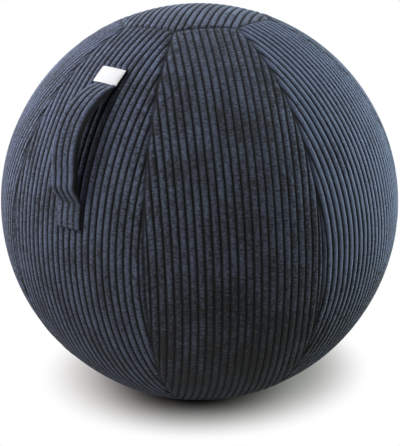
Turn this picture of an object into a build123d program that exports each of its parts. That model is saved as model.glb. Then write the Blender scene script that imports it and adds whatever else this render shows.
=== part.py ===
"""A fabric-covered sitting ball: an inflated ball in a cover of eight side panels, a top cap and a zipped base.

Millimetres, +Z up. The origin is the middle of the flat base, on the floor. The handle is sewn on the -Y side.
"""
from build123d import *
import math
import os

# Cover
ball_diameter = 650.0
base_diameter = 200.0
base_corner_radius = 30.0
panel_count = 8
cover_thickness = 3.0
allowance_thickness = 2.6
allowance_width = 12.0
cap_diameter = 240.0
layer_gap = 0.3
cut_margin = 15.0

# Corduroy
wale_pitch = 10.9
wale_depth = 2.0
seam_valley_radius = 2.2

# Zip round the base
zip_diameter = 315.0
zip_window = 14.0
zip_plain_arc = 24.0
tape_width = 13.0
tape_thickness = 0.8
chain_slit = 1.4
coil_width = 2.6
coil_height = 2.6
stop_length = 3.0
slider_length = 12.0
slider_wall = 0.9
slider_cover = 1.2
slider_clearance = 0.3
post_length = 3.0
bridge_width = 2.4
pull_pin_diameter = 1.8
pull_pin_clearance = 0.05
pull_pin_wall = 1.0
pull_arm_width = 1.1
pull_arm_lap = 1.6
pull_thickness = 1.4
pull_length = 20.0
pull_tab_width = 6.6
pull_hole_diameter = 3.0

# Inflated ball and its valve
ball_wall = 2.0
valve_arc = 45.0
valve_azimuth = 20.0
valve_bore = 8.0
valve_boss_diameter = 24.0
valve_boss_depth = 10.0
valve_seat_depth = 0.6
plug_flange_diameter = 15.0
plug_flange_thickness = 1.6
plug_tip_length = 4.0
plug_tip_diameter = 5.0
plug_clearance = 0.05

# Stand ring in the base
ring_diameter = 172.0
ring_section = 12.0
sleeve_thickness = 1.2

# Handle
handle_elevation = 32.4
handle_offset = 9.0
handle_width = 42.0
handle_thickness = 13.0
handle_wales = 4
handle_wale_depth = 1.2
handle_span = 160.0
handle_height = 39.5
handle_leg_height = 18.5
handle_pad_thickness = 4.0
upper_pad_length = 40.0
lower_pad_length = 42.0
core_width = 34.0
core_thickness = 1.6
core_clearance = 0.3
label_width = 43.0
label_length = 27.5
label_thickness = 0.8
label_elevation = 50.0
stitch_length = 3.2
stitch_width = 0.8
stitch_height = 0.6
stitch_step = 4.6
stitch_inset = 3.0

# Values worked out from the sizes above
ball_radius = ball_diameter / 2
centre_height = math.sqrt(ball_radius**2 - (base_diameter / 2) ** 2)
centre = Vector(0, 0, centre_height)
panel_arc = 360 / panel_count
inner_radius = ball_radius - cover_thickness
allowance_radius = inner_radius - allowance_thickness
cap_corner_polar = math.degrees(math.asin(cap_diameter / 2 / ball_radius))
cap_edge_polar = math.degrees(
    math.atan(math.tan(math.radians(cap_corner_polar)) * math.cos(math.radians(panel_arc / 2)))
)
zip_beta = math.degrees(math.asin(zip_diameter / 2 / ball_radius))
window_arc = math.degrees(zip_window / 2 / ball_radius)
tape_depth = cover_thickness + 2 * layer_gap
slider_depth = tape_depth + tape_thickness + slider_clearance + slider_wall
valve_beta = zip_beta - math.degrees(valve_arc / ball_radius)
bladder_radius = ball_radius - max(cover_thickness + allowance_thickness, slider_depth) - layer_gap
base_floor = cover_thickness + layer_gap
handle_azimuth = -90.0
zip_plain_azimuth = 90.0
handle_shift = math.degrees(handle_offset / (ball_radius * math.cos(math.radians(handle_elevation))))
panel_azimuth = handle_azimuth - handle_shift


def place(radius: float, beta: float) -> tuple:
    """A point in the XZ half-plane, beta degrees up from the bottom of a ball of that radius."""
    angle = math.radians(beta)
    return (radius * math.sin(angle), 0, centre_height - radius * math.cos(angle))


def ball_arc(radius: float, beta_1: float, beta_2: float):
    """An arc about the ball's centre, in the XZ half-plane."""
    middle = (beta_1 + beta_2) / 2
    return ThreePointArc(place(radius, beta_1), place(radius, middle), place(radius, beta_2))


def flat_ball_edge(radius: float, floor: float, corner: float, beta_end: float) -> list:
    """The half outline of a ball flattened at a floor height: flat, rounded corner and side up to beta_end."""
    reach = math.sqrt((radius - corner) ** 2 - (centre_height - floor - corner) ** 2)
    beta_corner = math.degrees(math.atan2(reach, centre_height - floor - corner))
    half = math.radians(beta_corner / 2)
    bottom = (reach, 0, floor)
    middle = (reach + corner * math.sin(half), 0, floor + corner - corner * math.cos(half))
    top = place(radius, beta_corner)
    return [
        Line((0, 0, floor), bottom),
        ThreePointArc(bottom, middle, top),
        ball_arc(radius, beta_corner, beta_end),
    ]


def turned(edges: list, arc: float = 360.0):
    """The solid made by turning a closed outline about the ball's upright axis."""
    return revolve(make_face(edges), axis=Axis.Z, revolution_arc=arc)


def sector(radius_1: float, radius_2: float, beta_1: float, beta_2: float, arc: float = 360.0):
    """Part of a round shell between two radii and two angles from the bottom."""
    edges = [
        ball_arc(radius_2, beta_1, beta_2),
        Line(place(radius_2, beta_2), place(radius_1, beta_2)),
        ball_arc(radius_1, beta_1, beta_2),
        Line(place(radius_1, beta_1), place(radius_2, beta_1)),
    ]
    return turned(edges, arc)


def flattened_ball(radius: float, floor: float, corner: float):
    """A full ball with a flat bottom at the floor height."""
    edges = flat_ball_edge(radius, floor, corner, 180)
    edges.append(Line(place(radius, 180), (0, 0, floor)))
    return turned(edges)


def waled_ball(radius: float, pitch: float, depth: float, reach: float):
    """A ball with wales round it, square to the X axis, out to a reach each side of its middle groove."""
    step = pitch / radius
    count = math.ceil(math.asin(reach / radius) / step)

    def spot(distance: float, turn: float) -> tuple:
        return (distance * math.sin(turn), distance * math.cos(turn), 0)

    edges = []
    for index in range(-count, count):
        groove_1 = spot(radius - depth, index * step)
        crest = spot(radius, (index + 0.5) * step)
        groove_2 = spot(radius - depth, (index + 1) * step)
        edges.append(ThreePointArc(groove_1, crest, groove_2))
    end_x, end_y, _ = spot(radius - depth, count * step)
    corners = [(end_x, end_y, 0), (end_x, 0, 0), (-end_x, 0, 0), (-end_x, end_y, 0)]
    edges.extend(Line(corners[i], corners[i + 1]) for i in range(3))
    return revolve(make_face(edges), axis=Axis.X)


def corduroy(wale_azimuth: float, reach: float):
    """The cover's ball with wales running along an azimuth over its top and down its sides."""
    return Pos(centre) * Rot(0, 0, wale_azimuth + 90) * waled_ball(ball_radius, wale_pitch, wale_depth, reach)


def seam_valley(plane: Plane):
    """The rounded valley along a seam that lies in a plane through the ball's centre."""
    return plane * Torus(ball_radius, seam_valley_radius)


def upright(azimuth: float, offset: float = 0.0) -> Plane:
    """The upright plane through the ball's centre at an azimuth, moved sideways by an offset to its left."""
    angle = math.radians(azimuth)
    normal = Vector(-math.sin(angle), math.cos(angle), 0)
    forward = Vector(math.cos(angle), math.sin(angle), 0)
    return Plane(origin=centre + normal * offset, x_dir=forward, z_dir=normal)


def cap_edge_plane(azimuth: float, offset: float = 0.0) -> Plane:
    """The plane of one straight cap seam, through the ball's centre, moved down by an offset."""
    angle = math.radians(azimuth)
    out = Vector(math.cos(angle), math.sin(angle), 0)
    across = Vector(-math.sin(angle), math.cos(angle), 0)
    polar = math.radians(cap_edge_polar)
    normal = Vector(0, 0, math.sin(polar)) - out * math.cos(polar)
    return Plane(origin=centre - normal * offset, x_dir=across, z_dir=normal)


def surface_plane(beta: float, azimuth: float) -> Plane:
    """A plane on the ball: x along the level line, y up the surface, z outward."""
    angle = math.radians(azimuth)
    rise = math.radians(beta)
    out = Vector(math.cos(angle), math.sin(angle), 0)
    normal = out * math.sin(rise) - Vector(0, 0, math.cos(rise))
    along = Vector(-math.sin(angle), math.cos(angle), 0)
    return Plane(origin=centre + normal * ball_radius, x_dir=along, z_dir=normal)


def above(shape, plane: Plane):
    """The part of a shape on the side that the plane faces."""
    return split(shape, bisect_by=plane, keep=Keep.TOP)


def below(shape, plane: Plane):
    """The part of a shape behind the plane."""
    return split(shape, bisect_by=plane, keep=Keep.BOTTOM)


def save(shape, node: str) -> None:
    """Write one piece, as one solid or as a group of separate ones."""
    export_step(shape, f"parts/{node}.step")


def side_panel():
    """One side panel, waled, seam allowances folded flat inside, centred on azimuth zero."""
    beta_low = zip_beta + window_arc
    beta_fold = zip_beta + math.degrees((tape_width + chain_slit + 2 * layer_gap) / ball_radius)
    beta_high = 180 - cap_edge_polar + math.degrees(cut_margin / ball_radius)
    blank_radius = ball_radius + cover_thickness
    edges = [
        ball_arc(blank_radius, beta_low, beta_high),
        Line(place(blank_radius, beta_high), place(allowance_radius, beta_high)),
        ball_arc(allowance_radius, beta_fold, beta_high),
        Line(place(allowance_radius, beta_fold), place(inner_radius, beta_fold)),
        ball_arc(inner_radius, beta_low, beta_fold),
        Line(place(inner_radius, beta_low), place(blank_radius, beta_low)),
    ]
    half = panel_arc / 2
    panel = Rot(0, 0, -half) * turned(edges, panel_arc)
    panel = below(panel, cap_edge_plane(0))
    panel = panel & corduroy(0, blank_radius * math.sin(math.radians(half)))
    for seam in (cap_edge_plane(0), upright(-half), upright(half)):
        panel = panel - seam_valley(seam)
    depth = allowance_radius - allowance_thickness
    pocket = Rot(0, 0, -half) * sector(depth, inner_radius, beta_low, beta_high, panel_arc)
    pocket = below(pocket, cap_edge_plane(0, allowance_width))
    pocket = above(pocket, upright(-half, allowance_width))
    pocket = below(pocket, upright(half, -allowance_width))
    return panel - pocket


def top_cap():
    """The many-sided cap, its wales running from corner to corner, its seam allowance folded flat inside."""
    beta_rim = 180 - cap_corner_polar - math.degrees(cut_margin / ball_radius)
    depth = allowance_radius - allowance_thickness
    cap = sector(allowance_radius, ball_radius + cover_thickness, beta_rim, 180)
    pocket = sector(depth, inner_radius, beta_rim, 180)
    seams = [cap_edge_plane(panel_azimuth + side * panel_arc) for side in range(panel_count)]
    for side, seam in enumerate(seams):
        cap = above(cap, seam)
        pocket = above(pocket, cap_edge_plane(panel_azimuth + side * panel_arc, -allowance_width))
    cap = cap & corduroy(panel_azimuth + panel_arc / 2, cap_diameter / 2)
    for seam in seams:
        cap = cap - seam_valley(seam)
    return cap - pocket


def base_panel():
    """The round base: a flat disc with a curved rim up to the zip."""
    beta_rim = zip_beta - window_arc
    outer = flat_ball_edge(ball_radius, 0, base_corner_radius, beta_rim)
    inner = flat_ball_edge(inner_radius, cover_thickness, base_corner_radius - cover_thickness, beta_rim)
    rim = Line(place(ball_radius, beta_rim), place(inner_radius, beta_rim))
    middle = Line((0, 0, 0), (0, 0, cover_thickness))
    return turned([*outer, rim, *inner, middle])


def zip_section(low_t: float, high_t: float, low_n: float, high_n: float, arc: float = 360.0):
    """A band of the zip: t runs up the surface from the chain's middle, n outward from the ball's surface."""
    rise = math.radians(zip_beta)
    corner_radius = zip_diameter / 2
    corner_height = centre_height - ball_radius * math.cos(rise)

    def spot(t: float, n: float) -> tuple:
        across = t * math.cos(rise) + n * math.sin(rise)
        up = t * math.sin(rise) - n * math.cos(rise)
        return (corner_radius + across, 0, corner_height + up)

    corners = [spot(low_t, low_n), spot(high_t, low_n), spot(high_t, high_n), spot(low_t, high_n)]
    edges = [Line(corners[i], corners[(i + 1) % 4]) for i in range(4)]
    return turned(edges, arc)


def zip_tape(upper: bool):
    """One zip tape, a full ring under the edge of the cover."""
    near, far = chain_slit / 2, chain_slit / 2 + tape_width
    low_t, high_t = (near, far) if upper else (-far, -near)
    return zip_section(low_t, high_t, -tape_depth - tape_thickness, -tape_depth)


def zip_teeth(upper: bool):
    """One row of the zip's coil, on the outside of its tape."""
    near, far = chain_slit / 2, chain_slit / 2 + coil_width
    low_t, high_t = (near, far) if upper else (-far, -near)
    arc = 360 - zip_plain_arc
    row = zip_section(low_t, high_t, -tape_depth, -tape_depth + coil_height, arc)
    return Rot(0, 0, zip_plain_azimuth + zip_plain_arc / 2) * row


def zip_stops():
    """The two stops, one past each end of the coil rows."""
    far = chain_slit / 2 + coil_width
    arc = math.degrees(stop_length / (zip_diameter / 2))
    stop = zip_section(-far, far, -tape_depth, -tape_depth + coil_height, arc)
    open_end = Rot(0, 0, zip_plain_azimuth + zip_plain_arc / 2 - arc) * stop
    closed_end = Rot(0, 0, zip_plain_azimuth - zip_plain_arc / 2) * stop
    return Compound([open_end, closed_end])


slider_half_width = chain_slit / 2 + coil_width + slider_clearance + slider_wall
slider_top = -tape_depth + coil_height + slider_clearance + slider_cover
pull_pin_height = slider_top + pull_thickness / 2 + slider_clearance + pull_pin_diameter / 2
slider_azimuth = zip_plain_azimuth - zip_plain_arc / 2 - math.degrees(
    (slider_length / 2 + slider_clearance) / (zip_diameter / 2)
)
slider_spot = surface_plane(zip_beta, slider_azimuth)


def zip_slider():
    """The slider: a plate each side of the chain, a post between the rows and a bridge for the pull."""
    cover_low = slider_top - slider_cover
    floor_high = -slider_depth + slider_wall
    flange_low = -tape_depth + slider_clearance
    cover = Pos(0, 0, slider_top - slider_cover / 2) * Box(slider_length, 2 * slider_half_width, slider_cover)
    floor = Pos(0, 0, floor_high - slider_wall / 2) * Box(slider_length, 2 * slider_half_width, slider_wall)
    flange_height = cover_low - flange_low
    flange = Box(slider_length, slider_wall, flange_height)
    flange_t = slider_half_width - slider_wall / 2
    flange_n = flange_low + flange_height / 2
    post_width = chain_slit - 2 * slider_clearance
    post_height = cover_low - floor_high
    post = Pos((post_length - slider_length) / 2, 0, floor_high + post_height / 2)
    post = post * Box(post_length, post_width, post_height)
    bore = pull_pin_diameter + 2 * pull_pin_clearance
    bridge_height = pull_pin_height - slider_top
    crown_radius = bore / 2 + pull_pin_wall
    bridge = Pos(0, 0, slider_top + bridge_height / 2) * Box(2 * crown_radius, bridge_width, bridge_height)
    crown = Pos(0, 0, pull_pin_height) * Rot(90, 0, 0) * Cylinder(crown_radius, bridge_width)
    eye = Pos(0, 0, pull_pin_height) * Rot(90, 0, 0) * Cylinder(bore / 2, bridge_width + 2 * slider_clearance)
    slider = cover + floor + post + bridge + crown
    for side in (-1, 1):
        slider = slider + Pos(0, side * flange_t, flange_n) * flange
    return slider_spot * (slider - eye)


def zip_pull():
    """The pull: a pin through the bridge, two arms and a tab, hanging straight out from the slider."""
    inside = bridge_width / 2 + slider_clearance
    half = inside + pull_arm_width
    pin = Pos(0, 0, pull_pin_height) * Rot(90, 0, 0) * Cylinder(pull_pin_diameter / 2, 2 * half)
    crown = pull_pin_diameter / 2 + pull_pin_clearance + pull_pin_wall
    tab_start = crown + slider_clearance
    arm_length = tab_start + pull_arm_lap
    arm = Box(pull_thickness, pull_arm_width, arm_length)
    arm_n = pull_pin_height + arm_length / 2
    tab_length = pull_length - tab_start - pull_tab_width / 2
    tab = Pos(0, 0, pull_pin_height + tab_start + tab_length / 2)
    tab = tab * Box(pull_thickness, pull_tab_width, tab_length)
    tip_height = pull_pin_height + tab_start + tab_length
    tip = Pos(0, 0, tip_height) * Rot(0, 90, 0) * Cylinder(pull_tab_width / 2, pull_thickness)
    hole = Pos(0, 0, tip_height) * Rot(0, 90, 0) * Cylinder(pull_hole_diameter / 2, pull_thickness + slider_clearance)
    pull = pin + tab + tip - hole
    for side in (-1, 1):
        pull = pull + Pos(0, side * (inside + pull_arm_width / 2), arm_n) * arm
    return slider_spot * pull


ring_height = base_floor + sleeve_thickness + layer_gap + ring_section / 2
sleeve_radius = ring_section / 2 + layer_gap + sleeve_thickness


def ring_tunnel(half_width: float):
    """The space over the stand ring: upright walls with a round top."""
    middle = ring_diameter / 2
    corners = [
        (middle - half_width, 0, 0),
        (middle + half_width, 0, 0),
        (middle + half_width, 0, ring_height),
        (middle - half_width, 0, ring_height),
    ]
    edges = [Line(corners[0], corners[1]), Line(corners[1], corners[2]), Line(corners[3], corners[0])]
    edges.append(ThreePointArc(corners[2], (middle, 0, ring_height + half_width), corners[3]))
    return turned(edges)


def stand_ring():
    """The ring that keeps the ball from rolling."""
    return Pos(0, 0, ring_height) * Torus(ring_diameter / 2, ring_section / 2)


def ring_sleeve():
    """The fabric tunnel round the stand ring."""
    tunnel = Torus(ring_diameter / 2, sleeve_radius) - Torus(ring_diameter / 2, sleeve_radius - sleeve_thickness)
    return Pos(0, 0, ring_height) * tunnel


valve_spot = surface_plane(valve_beta, valve_azimuth)
valve_face = -(ball_radius - bladder_radius) - valve_seat_depth


def inner_ball():
    """The inflated ball: a thin shell, flattened below and pressed in over the stand ring, with a valve boss."""
    depth = ball_radius - bladder_radius
    groove = sleeve_radius + layer_gap
    corner = base_corner_radius - depth
    outer = flattened_ball(bladder_radius, base_floor, corner) - ring_tunnel(groove)
    hollow = flattened_ball(bladder_radius - ball_wall, base_floor + ball_wall, corner - ball_wall)
    hollow = hollow - ring_tunnel(groove + ball_wall)
    boss = Pos(0, 0, valve_face - valve_boss_depth / 2) * Cylinder(valve_boss_diameter / 2, valve_boss_depth)
    seat = Pos(0, 0, valve_face + plug_flange_thickness / 2)
    seat = seat * Cylinder(plug_flange_diameter / 2 + layer_gap, plug_flange_thickness)
    bore = Pos(0, 0, valve_face - valve_boss_depth / 2) * Cylinder(valve_bore / 2, valve_boss_depth + 2 * ball_wall)
    return outer - hollow + valve_spot * boss - valve_spot * seat - valve_spot * bore


def valve_plug():
    """The plug pushed into the valve, with a flange that lies on its seat."""
    stem_length = valve_boss_depth + plug_tip_length / 2
    stem_radius = valve_bore / 2 - plug_clearance
    flange = Pos(0, 0, valve_face + plug_flange_thickness / 2)
    flange = flange * Cylinder(plug_flange_diameter / 2, plug_flange_thickness)
    stem = Pos(0, 0, valve_face - stem_length / 2) * Cylinder(stem_radius, stem_length)
    tip = Pos(0, 0, valve_face - stem_length - plug_tip_length / 2)
    tip = tip * Cone(plug_tip_diameter / 2, stem_radius, plug_tip_length)
    return valve_spot * (flange + stem + tip)


# The handle's own frame: x across the strap, y up along the ball, z outward, on the ball's surface
handle_spot = surface_plane(90 + handle_elevation, handle_azimuth)
foot_height = math.sqrt(ball_radius**2 - (handle_span / 2) ** 2) - ball_radius
arch_rise = handle_height - handle_thickness / 2 - foot_height
arch_radius = ((handle_span / 2) ** 2 + arch_rise**2) / (2 * arch_rise)
arch_centre = handle_height - handle_thickness / 2 - arch_radius
foot_angle = math.degrees(math.asin(handle_span / 2 / arch_radius))
joint_angle = math.degrees(math.acos((foot_height + handle_leg_height - arch_centre) / arch_radius))


def arch(thickness: float, width: float, angle_1: float, angle_2: float):
    """A plain piece of the strap's arch, between two angles from its crown towards the upper end."""
    radii = (arch_radius - thickness / 2, arch_radius + thickness / 2)

    def spot(radius: float, angle: float) -> tuple:
        turn = math.radians(angle)
        return (0, radius * math.sin(turn), arch_centre + radius * math.cos(turn))

    middle = (angle_1 + angle_2) / 2
    edges = [ThreePointArc(spot(r, angle_1), spot(r, middle), spot(r, angle_2)) for r in radii]
    edges.extend(Line(spot(radii[0], a), spot(radii[1], a)) for a in (angle_1, angle_2))
    return extrude(make_face(edges), width / 2, dir=(1, 0, 0), both=True)


def waled_arch(angle_1: float, angle_2: float):
    """A piece of the strap's arch with its wales on the outside, between two angles from its crown."""
    inside = arch_radius - handle_thickness / 2
    crest = arch_radius + handle_thickness / 2
    groove = crest - handle_wale_depth
    pitch = handle_width / handle_wales
    half = handle_width / 2
    edges = [Line((-half, 0, inside), (half, 0, inside))]
    edges.extend(Line((x, 0, inside), (x, 0, groove)) for x in (-half, half))
    for index in range(handle_wales):
        start = index * pitch - half
        middle = (start + pitch / 2, 0, crest)
        edges.append(ThreePointArc((start, 0, groove), middle, (start + pitch, 0, groove)))
    strap = revolve(make_face(edges), axis=Axis.X, revolution_arc=angle_2 - angle_1)
    return Pos(0, 0, arch_centre) * Rot(-angle_2, 0, 0) * strap


def ball_patch(depth_1: float, depth_2: float, width: float, low: float, high: float):
    """A patch lying on the ball, between two heights above it, from low to high along the handle's frame."""
    ball = Pos(0, 0, -ball_radius)
    skin = ball * Sphere(ball_radius + depth_2) - ball * Sphere(ball_radius + depth_1)
    block = Pos(0, (low + high) / 2, 0) * Box(width, high - low, ball_radius)
    return skin & block


pad_top = layer_gap + handle_pad_thickness
foot_reach = handle_span / 2


def handle_strap():
    """The free loop of the strap, a folded sleeve round its core."""
    shell = waled_arch(-joint_angle, joint_angle)
    slot_thickness = core_thickness + 2 * core_clearance
    slot = arch(slot_thickness, core_width + 2 * core_clearance, -foot_angle, foot_angle)
    return handle_spot * (shell - slot)


def handle_core():
    """The webbing inside the strap's free loop."""
    return handle_spot * arch(core_thickness, core_width, -joint_angle, joint_angle)


def handle_end(upper: bool):
    """One end of the strap: its rising leg and the part sewn flat on the panel."""
    side = 1 if upper else -1
    gap_angle = math.degrees(layer_gap / arch_radius)
    length = upper_pad_length if upper else lower_pad_length
    leg_angles = sorted((side * (joint_angle + gap_angle), side * (foot_angle + gap_angle)))
    leg = waled_arch(*leg_angles)
    leg = leg - Pos(0, 0, -ball_radius) * Sphere(ball_radius + layer_gap)
    low, high = sorted((side * (foot_reach - handle_thickness), side * (foot_reach + length)))
    pad = ball_patch(layer_gap, pad_top + cover_thickness, handle_width, low, high)
    wales = waled_ball(ball_radius + pad_top, handle_width / handle_wales, handle_wale_depth, handle_width / 2)
    pad = pad & (Pos(0, 0, -ball_radius) * wales)
    return handle_spot * (leg + pad)


def on_patch(shape, across: float, along: float, height: float):
    """Lay a small shape flat on the ball near the handle, at places across and along it."""
    tilt = -math.degrees(along / ball_radius)
    roll = math.degrees(across / ball_radius)
    ball = Pos(0, 0, -ball_radius)
    return ball * Rot(tilt, 0, 0) * Rot(0, roll, 0) * Pos(0, 0, ball_radius + height) * shape


label_along = math.radians(label_elevation - handle_elevation) * ball_radius
label_bottom = pad_top + layer_gap


def label():
    """The bare woven label over the strap's upper end."""
    low = label_along - label_length / 2
    top = label_bottom + label_thickness
    return handle_spot * ball_patch(label_bottom, top, label_width, low, low + label_length)


def stitch_row(across: float, along: float, length: float, height: float, level: bool) -> list:
    """Stitches in a row, centred on a place, level across the strap or up along it."""
    count = int(length // stitch_step)
    stitch = Box(stitch_length, stitch_width, stitch_height)
    if not level:
        stitch = Box(stitch_width, stitch_length, stitch_height)
    row = []
    for index in range(count):
        shift = (index - (count - 1) / 2) * stitch_step
        spot = (across + shift, along) if level else (across, along + shift)
        row.append(handle_spot * on_patch(stitch, *spot, height + stitch_height / 2))
    return row


def handle_stitches():
    """The two seam lines that hold the strap's lower end."""
    height = pad_top + layer_gap
    width = handle_width - 2 * stitch_inset
    end = -foot_reach - lower_pad_length + stitch_inset
    rows = stitch_row(0, end, width, height, True)
    rows += stitch_row(0, end + 2 * stitch_inset, width, height, True)
    return Compound(rows)


def label_stitches():
    """The stitches along the label's two short sides."""
    height = label_bottom + label_thickness + layer_gap
    side = label_width / 2 - stitch_inset / 2
    length = label_length - stitch_inset
    return Compound([s for x in (-side, side) for s in stitch_row(x, label_along, length, height, False)])


def main() -> None:
    """Write every piece to its own file."""
    os.makedirs("parts", exist_ok=True)
    panel = side_panel()
    for index in range(panel_count):
        save(Rot(0, 0, panel_azimuth + index * panel_arc) * panel, f"side_panel_{index + 1}")
    save(top_cap(), "top_cap")
    save(base_panel(), "base_panel")
    save(zip_tape(True), "zip_tape_upper")
    save(zip_tape(False), "zip_tape_lower")
    save(zip_teeth(True), "zip_teeth_upper")
    save(zip_teeth(False), "zip_teeth_lower")
    save(zip_stops(), "zip_stops")
    save(zip_slider(), "zip_slider")
    save(zip_pull(), "zip_pull")
    save(stand_ring(), "stand_ring")
    save(ring_sleeve(), "ring_sleeve")
    save(inner_ball(), "inner_ball")
    save(valve_plug(), "valve_plug")
    save(handle_strap(), "handle_strap")
    save(handle_core(), "handle_core")
    save(handle_end(True), "handle_end_upper")
    save(handle_end(False), "handle_end_lower")
    save(handle_stitches(), "handle_stitches")
    save(label(), "label")
    save(label_stitches(), "label_stitches")


main()
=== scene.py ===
"""Dresses a corduroy sitting ball: its cover, zip, handle, bare label and stand ring, in a plain studio."""
import logging
import math
from dataclasses import dataclass, field
from enum import Enum, IntEnum
from typing import Any, Optional, Union

import bmesh
import bpy
import numpy as np
from mathutils import Matrix, Vector


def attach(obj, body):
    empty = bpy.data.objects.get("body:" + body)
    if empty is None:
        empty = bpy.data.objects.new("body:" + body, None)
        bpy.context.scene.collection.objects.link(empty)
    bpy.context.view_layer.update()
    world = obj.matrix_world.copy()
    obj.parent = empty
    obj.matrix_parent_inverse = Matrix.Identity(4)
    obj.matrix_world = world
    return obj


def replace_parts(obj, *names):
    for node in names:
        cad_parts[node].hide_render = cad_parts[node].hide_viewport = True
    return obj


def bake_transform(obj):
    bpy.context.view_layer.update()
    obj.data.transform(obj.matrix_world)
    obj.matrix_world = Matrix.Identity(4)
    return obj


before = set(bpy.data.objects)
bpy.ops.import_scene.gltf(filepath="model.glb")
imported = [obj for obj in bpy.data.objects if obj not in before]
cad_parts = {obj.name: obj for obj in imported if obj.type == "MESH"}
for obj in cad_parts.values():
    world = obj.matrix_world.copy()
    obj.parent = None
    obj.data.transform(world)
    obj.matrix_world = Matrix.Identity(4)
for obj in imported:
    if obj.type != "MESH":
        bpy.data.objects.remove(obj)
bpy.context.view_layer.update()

CLOTH_MAP = "cloth"
SEAM_MARK = "seam"
# This mark carries a tone that is partly the nap's lie and partly painted light and shade.
NAP_AND_LIGHT_MARK = "nap"
CRUSH_MARK = "crush"
UP = np.array([0.0, 0.0, 1.0])
SIDEWAYS = np.array([1.0, 0.0, 0.0])
FULL_TURN = 2 * math.pi
CAMERA_AZIMUTH = -55.61
STITCH_SIDES = 6
LOG = logging.getLogger("sitting_ball")

Colour = tuple[float, float, float]
Feed = Union["Signal", float, int, tuple]
WHITE: Colour = (1.0, 1.0, 1.0)


class Body(str, Enum):
    """The part's moving bodies."""

    COVER = "cover"
    HANDLE = "handle"


class Slot(str, Enum):
    """The record's material slots."""

    CORDUROY = "corduroy"
    BASE_CLOTH = "base_cloth"
    ZIP_TAPE = "zip_tape"
    ZIP_COIL = "zip_coil"
    ZIP_METAL = "zip_metal"
    STAND_RING = "stand_ring"
    BLADDER = "bladder"
    PLUG = "plug"
    WEBBING = "webbing"
    LABEL = "label"
    THREAD = "thread"


class ZipSide(IntEnum):
    """The zip's two sides, by which way they lie up the ball."""

    UPPER = 1
    LOWER = -1


class Hold(str, Enum):
    """How a piece of cloth is held."""

    STRETCHED = "stretched"
    GATHERED = "gathered"
    LAID = "laid"


# Shader kit


class Signal:
    """A shader socket whose sums and products add Math nodes."""

    def __init__(self, graph: "Graph", socket: Optional[bpy.types.NodeSocket]) -> None:
        """Keeps the graph and the socket, which an output node doesn't have."""
        self.graph = graph
        self.socket = socket

    def _math(self, operation: str, *values: Feed) -> "Signal":
        """Adds one Math node."""
        return self.graph.node("ShaderNodeMath", {"operation": operation}, dict(enumerate(values)))

    def __add__(self, other: Feed) -> "Signal":
        """This plus another."""
        return self._math("ADD", self, other)

    def __radd__(self, other: Feed) -> "Signal":
        """Another plus this."""
        return self._math("ADD", other, self)

    def __sub__(self, other: Feed) -> "Signal":
        """This minus another."""
        return self._math("SUBTRACT", self, other)

    def __rsub__(self, other: Feed) -> "Signal":
        """Another minus this."""
        return self._math("SUBTRACT", other, self)

    def __mul__(self, other: Feed) -> "Signal":
        """This times another."""
        return self._math("MULTIPLY", self, other)

    def __rmul__(self, other: Feed) -> "Signal":
        """Another times this."""
        return self._math("MULTIPLY", other, self)

    def __abs__(self) -> "Signal":
        """This without its sign."""
        return self._math("ABSOLUTE", self)

    def sine(self) -> "Signal":
        """The sine of this."""
        return self._math("SINE", self)

    def floor(self) -> "Signal":
        """The whole number below this."""
        return self._math("FLOOR", self)

    def fraction(self) -> "Signal":
        """What is left of this above its whole number."""
        return self._math("FRACT", self)

    def ease(self, low: float, high: float) -> "Signal":
        """Runs smoothly from 0 to 1 as this goes from low to high."""
        sockets = {"Value": self, "From Min": low, "From Max": high}
        return self.graph.node("ShaderNodeMapRange", {"interpolation_type": "SMOOTHSTEP"}, sockets)


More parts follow.
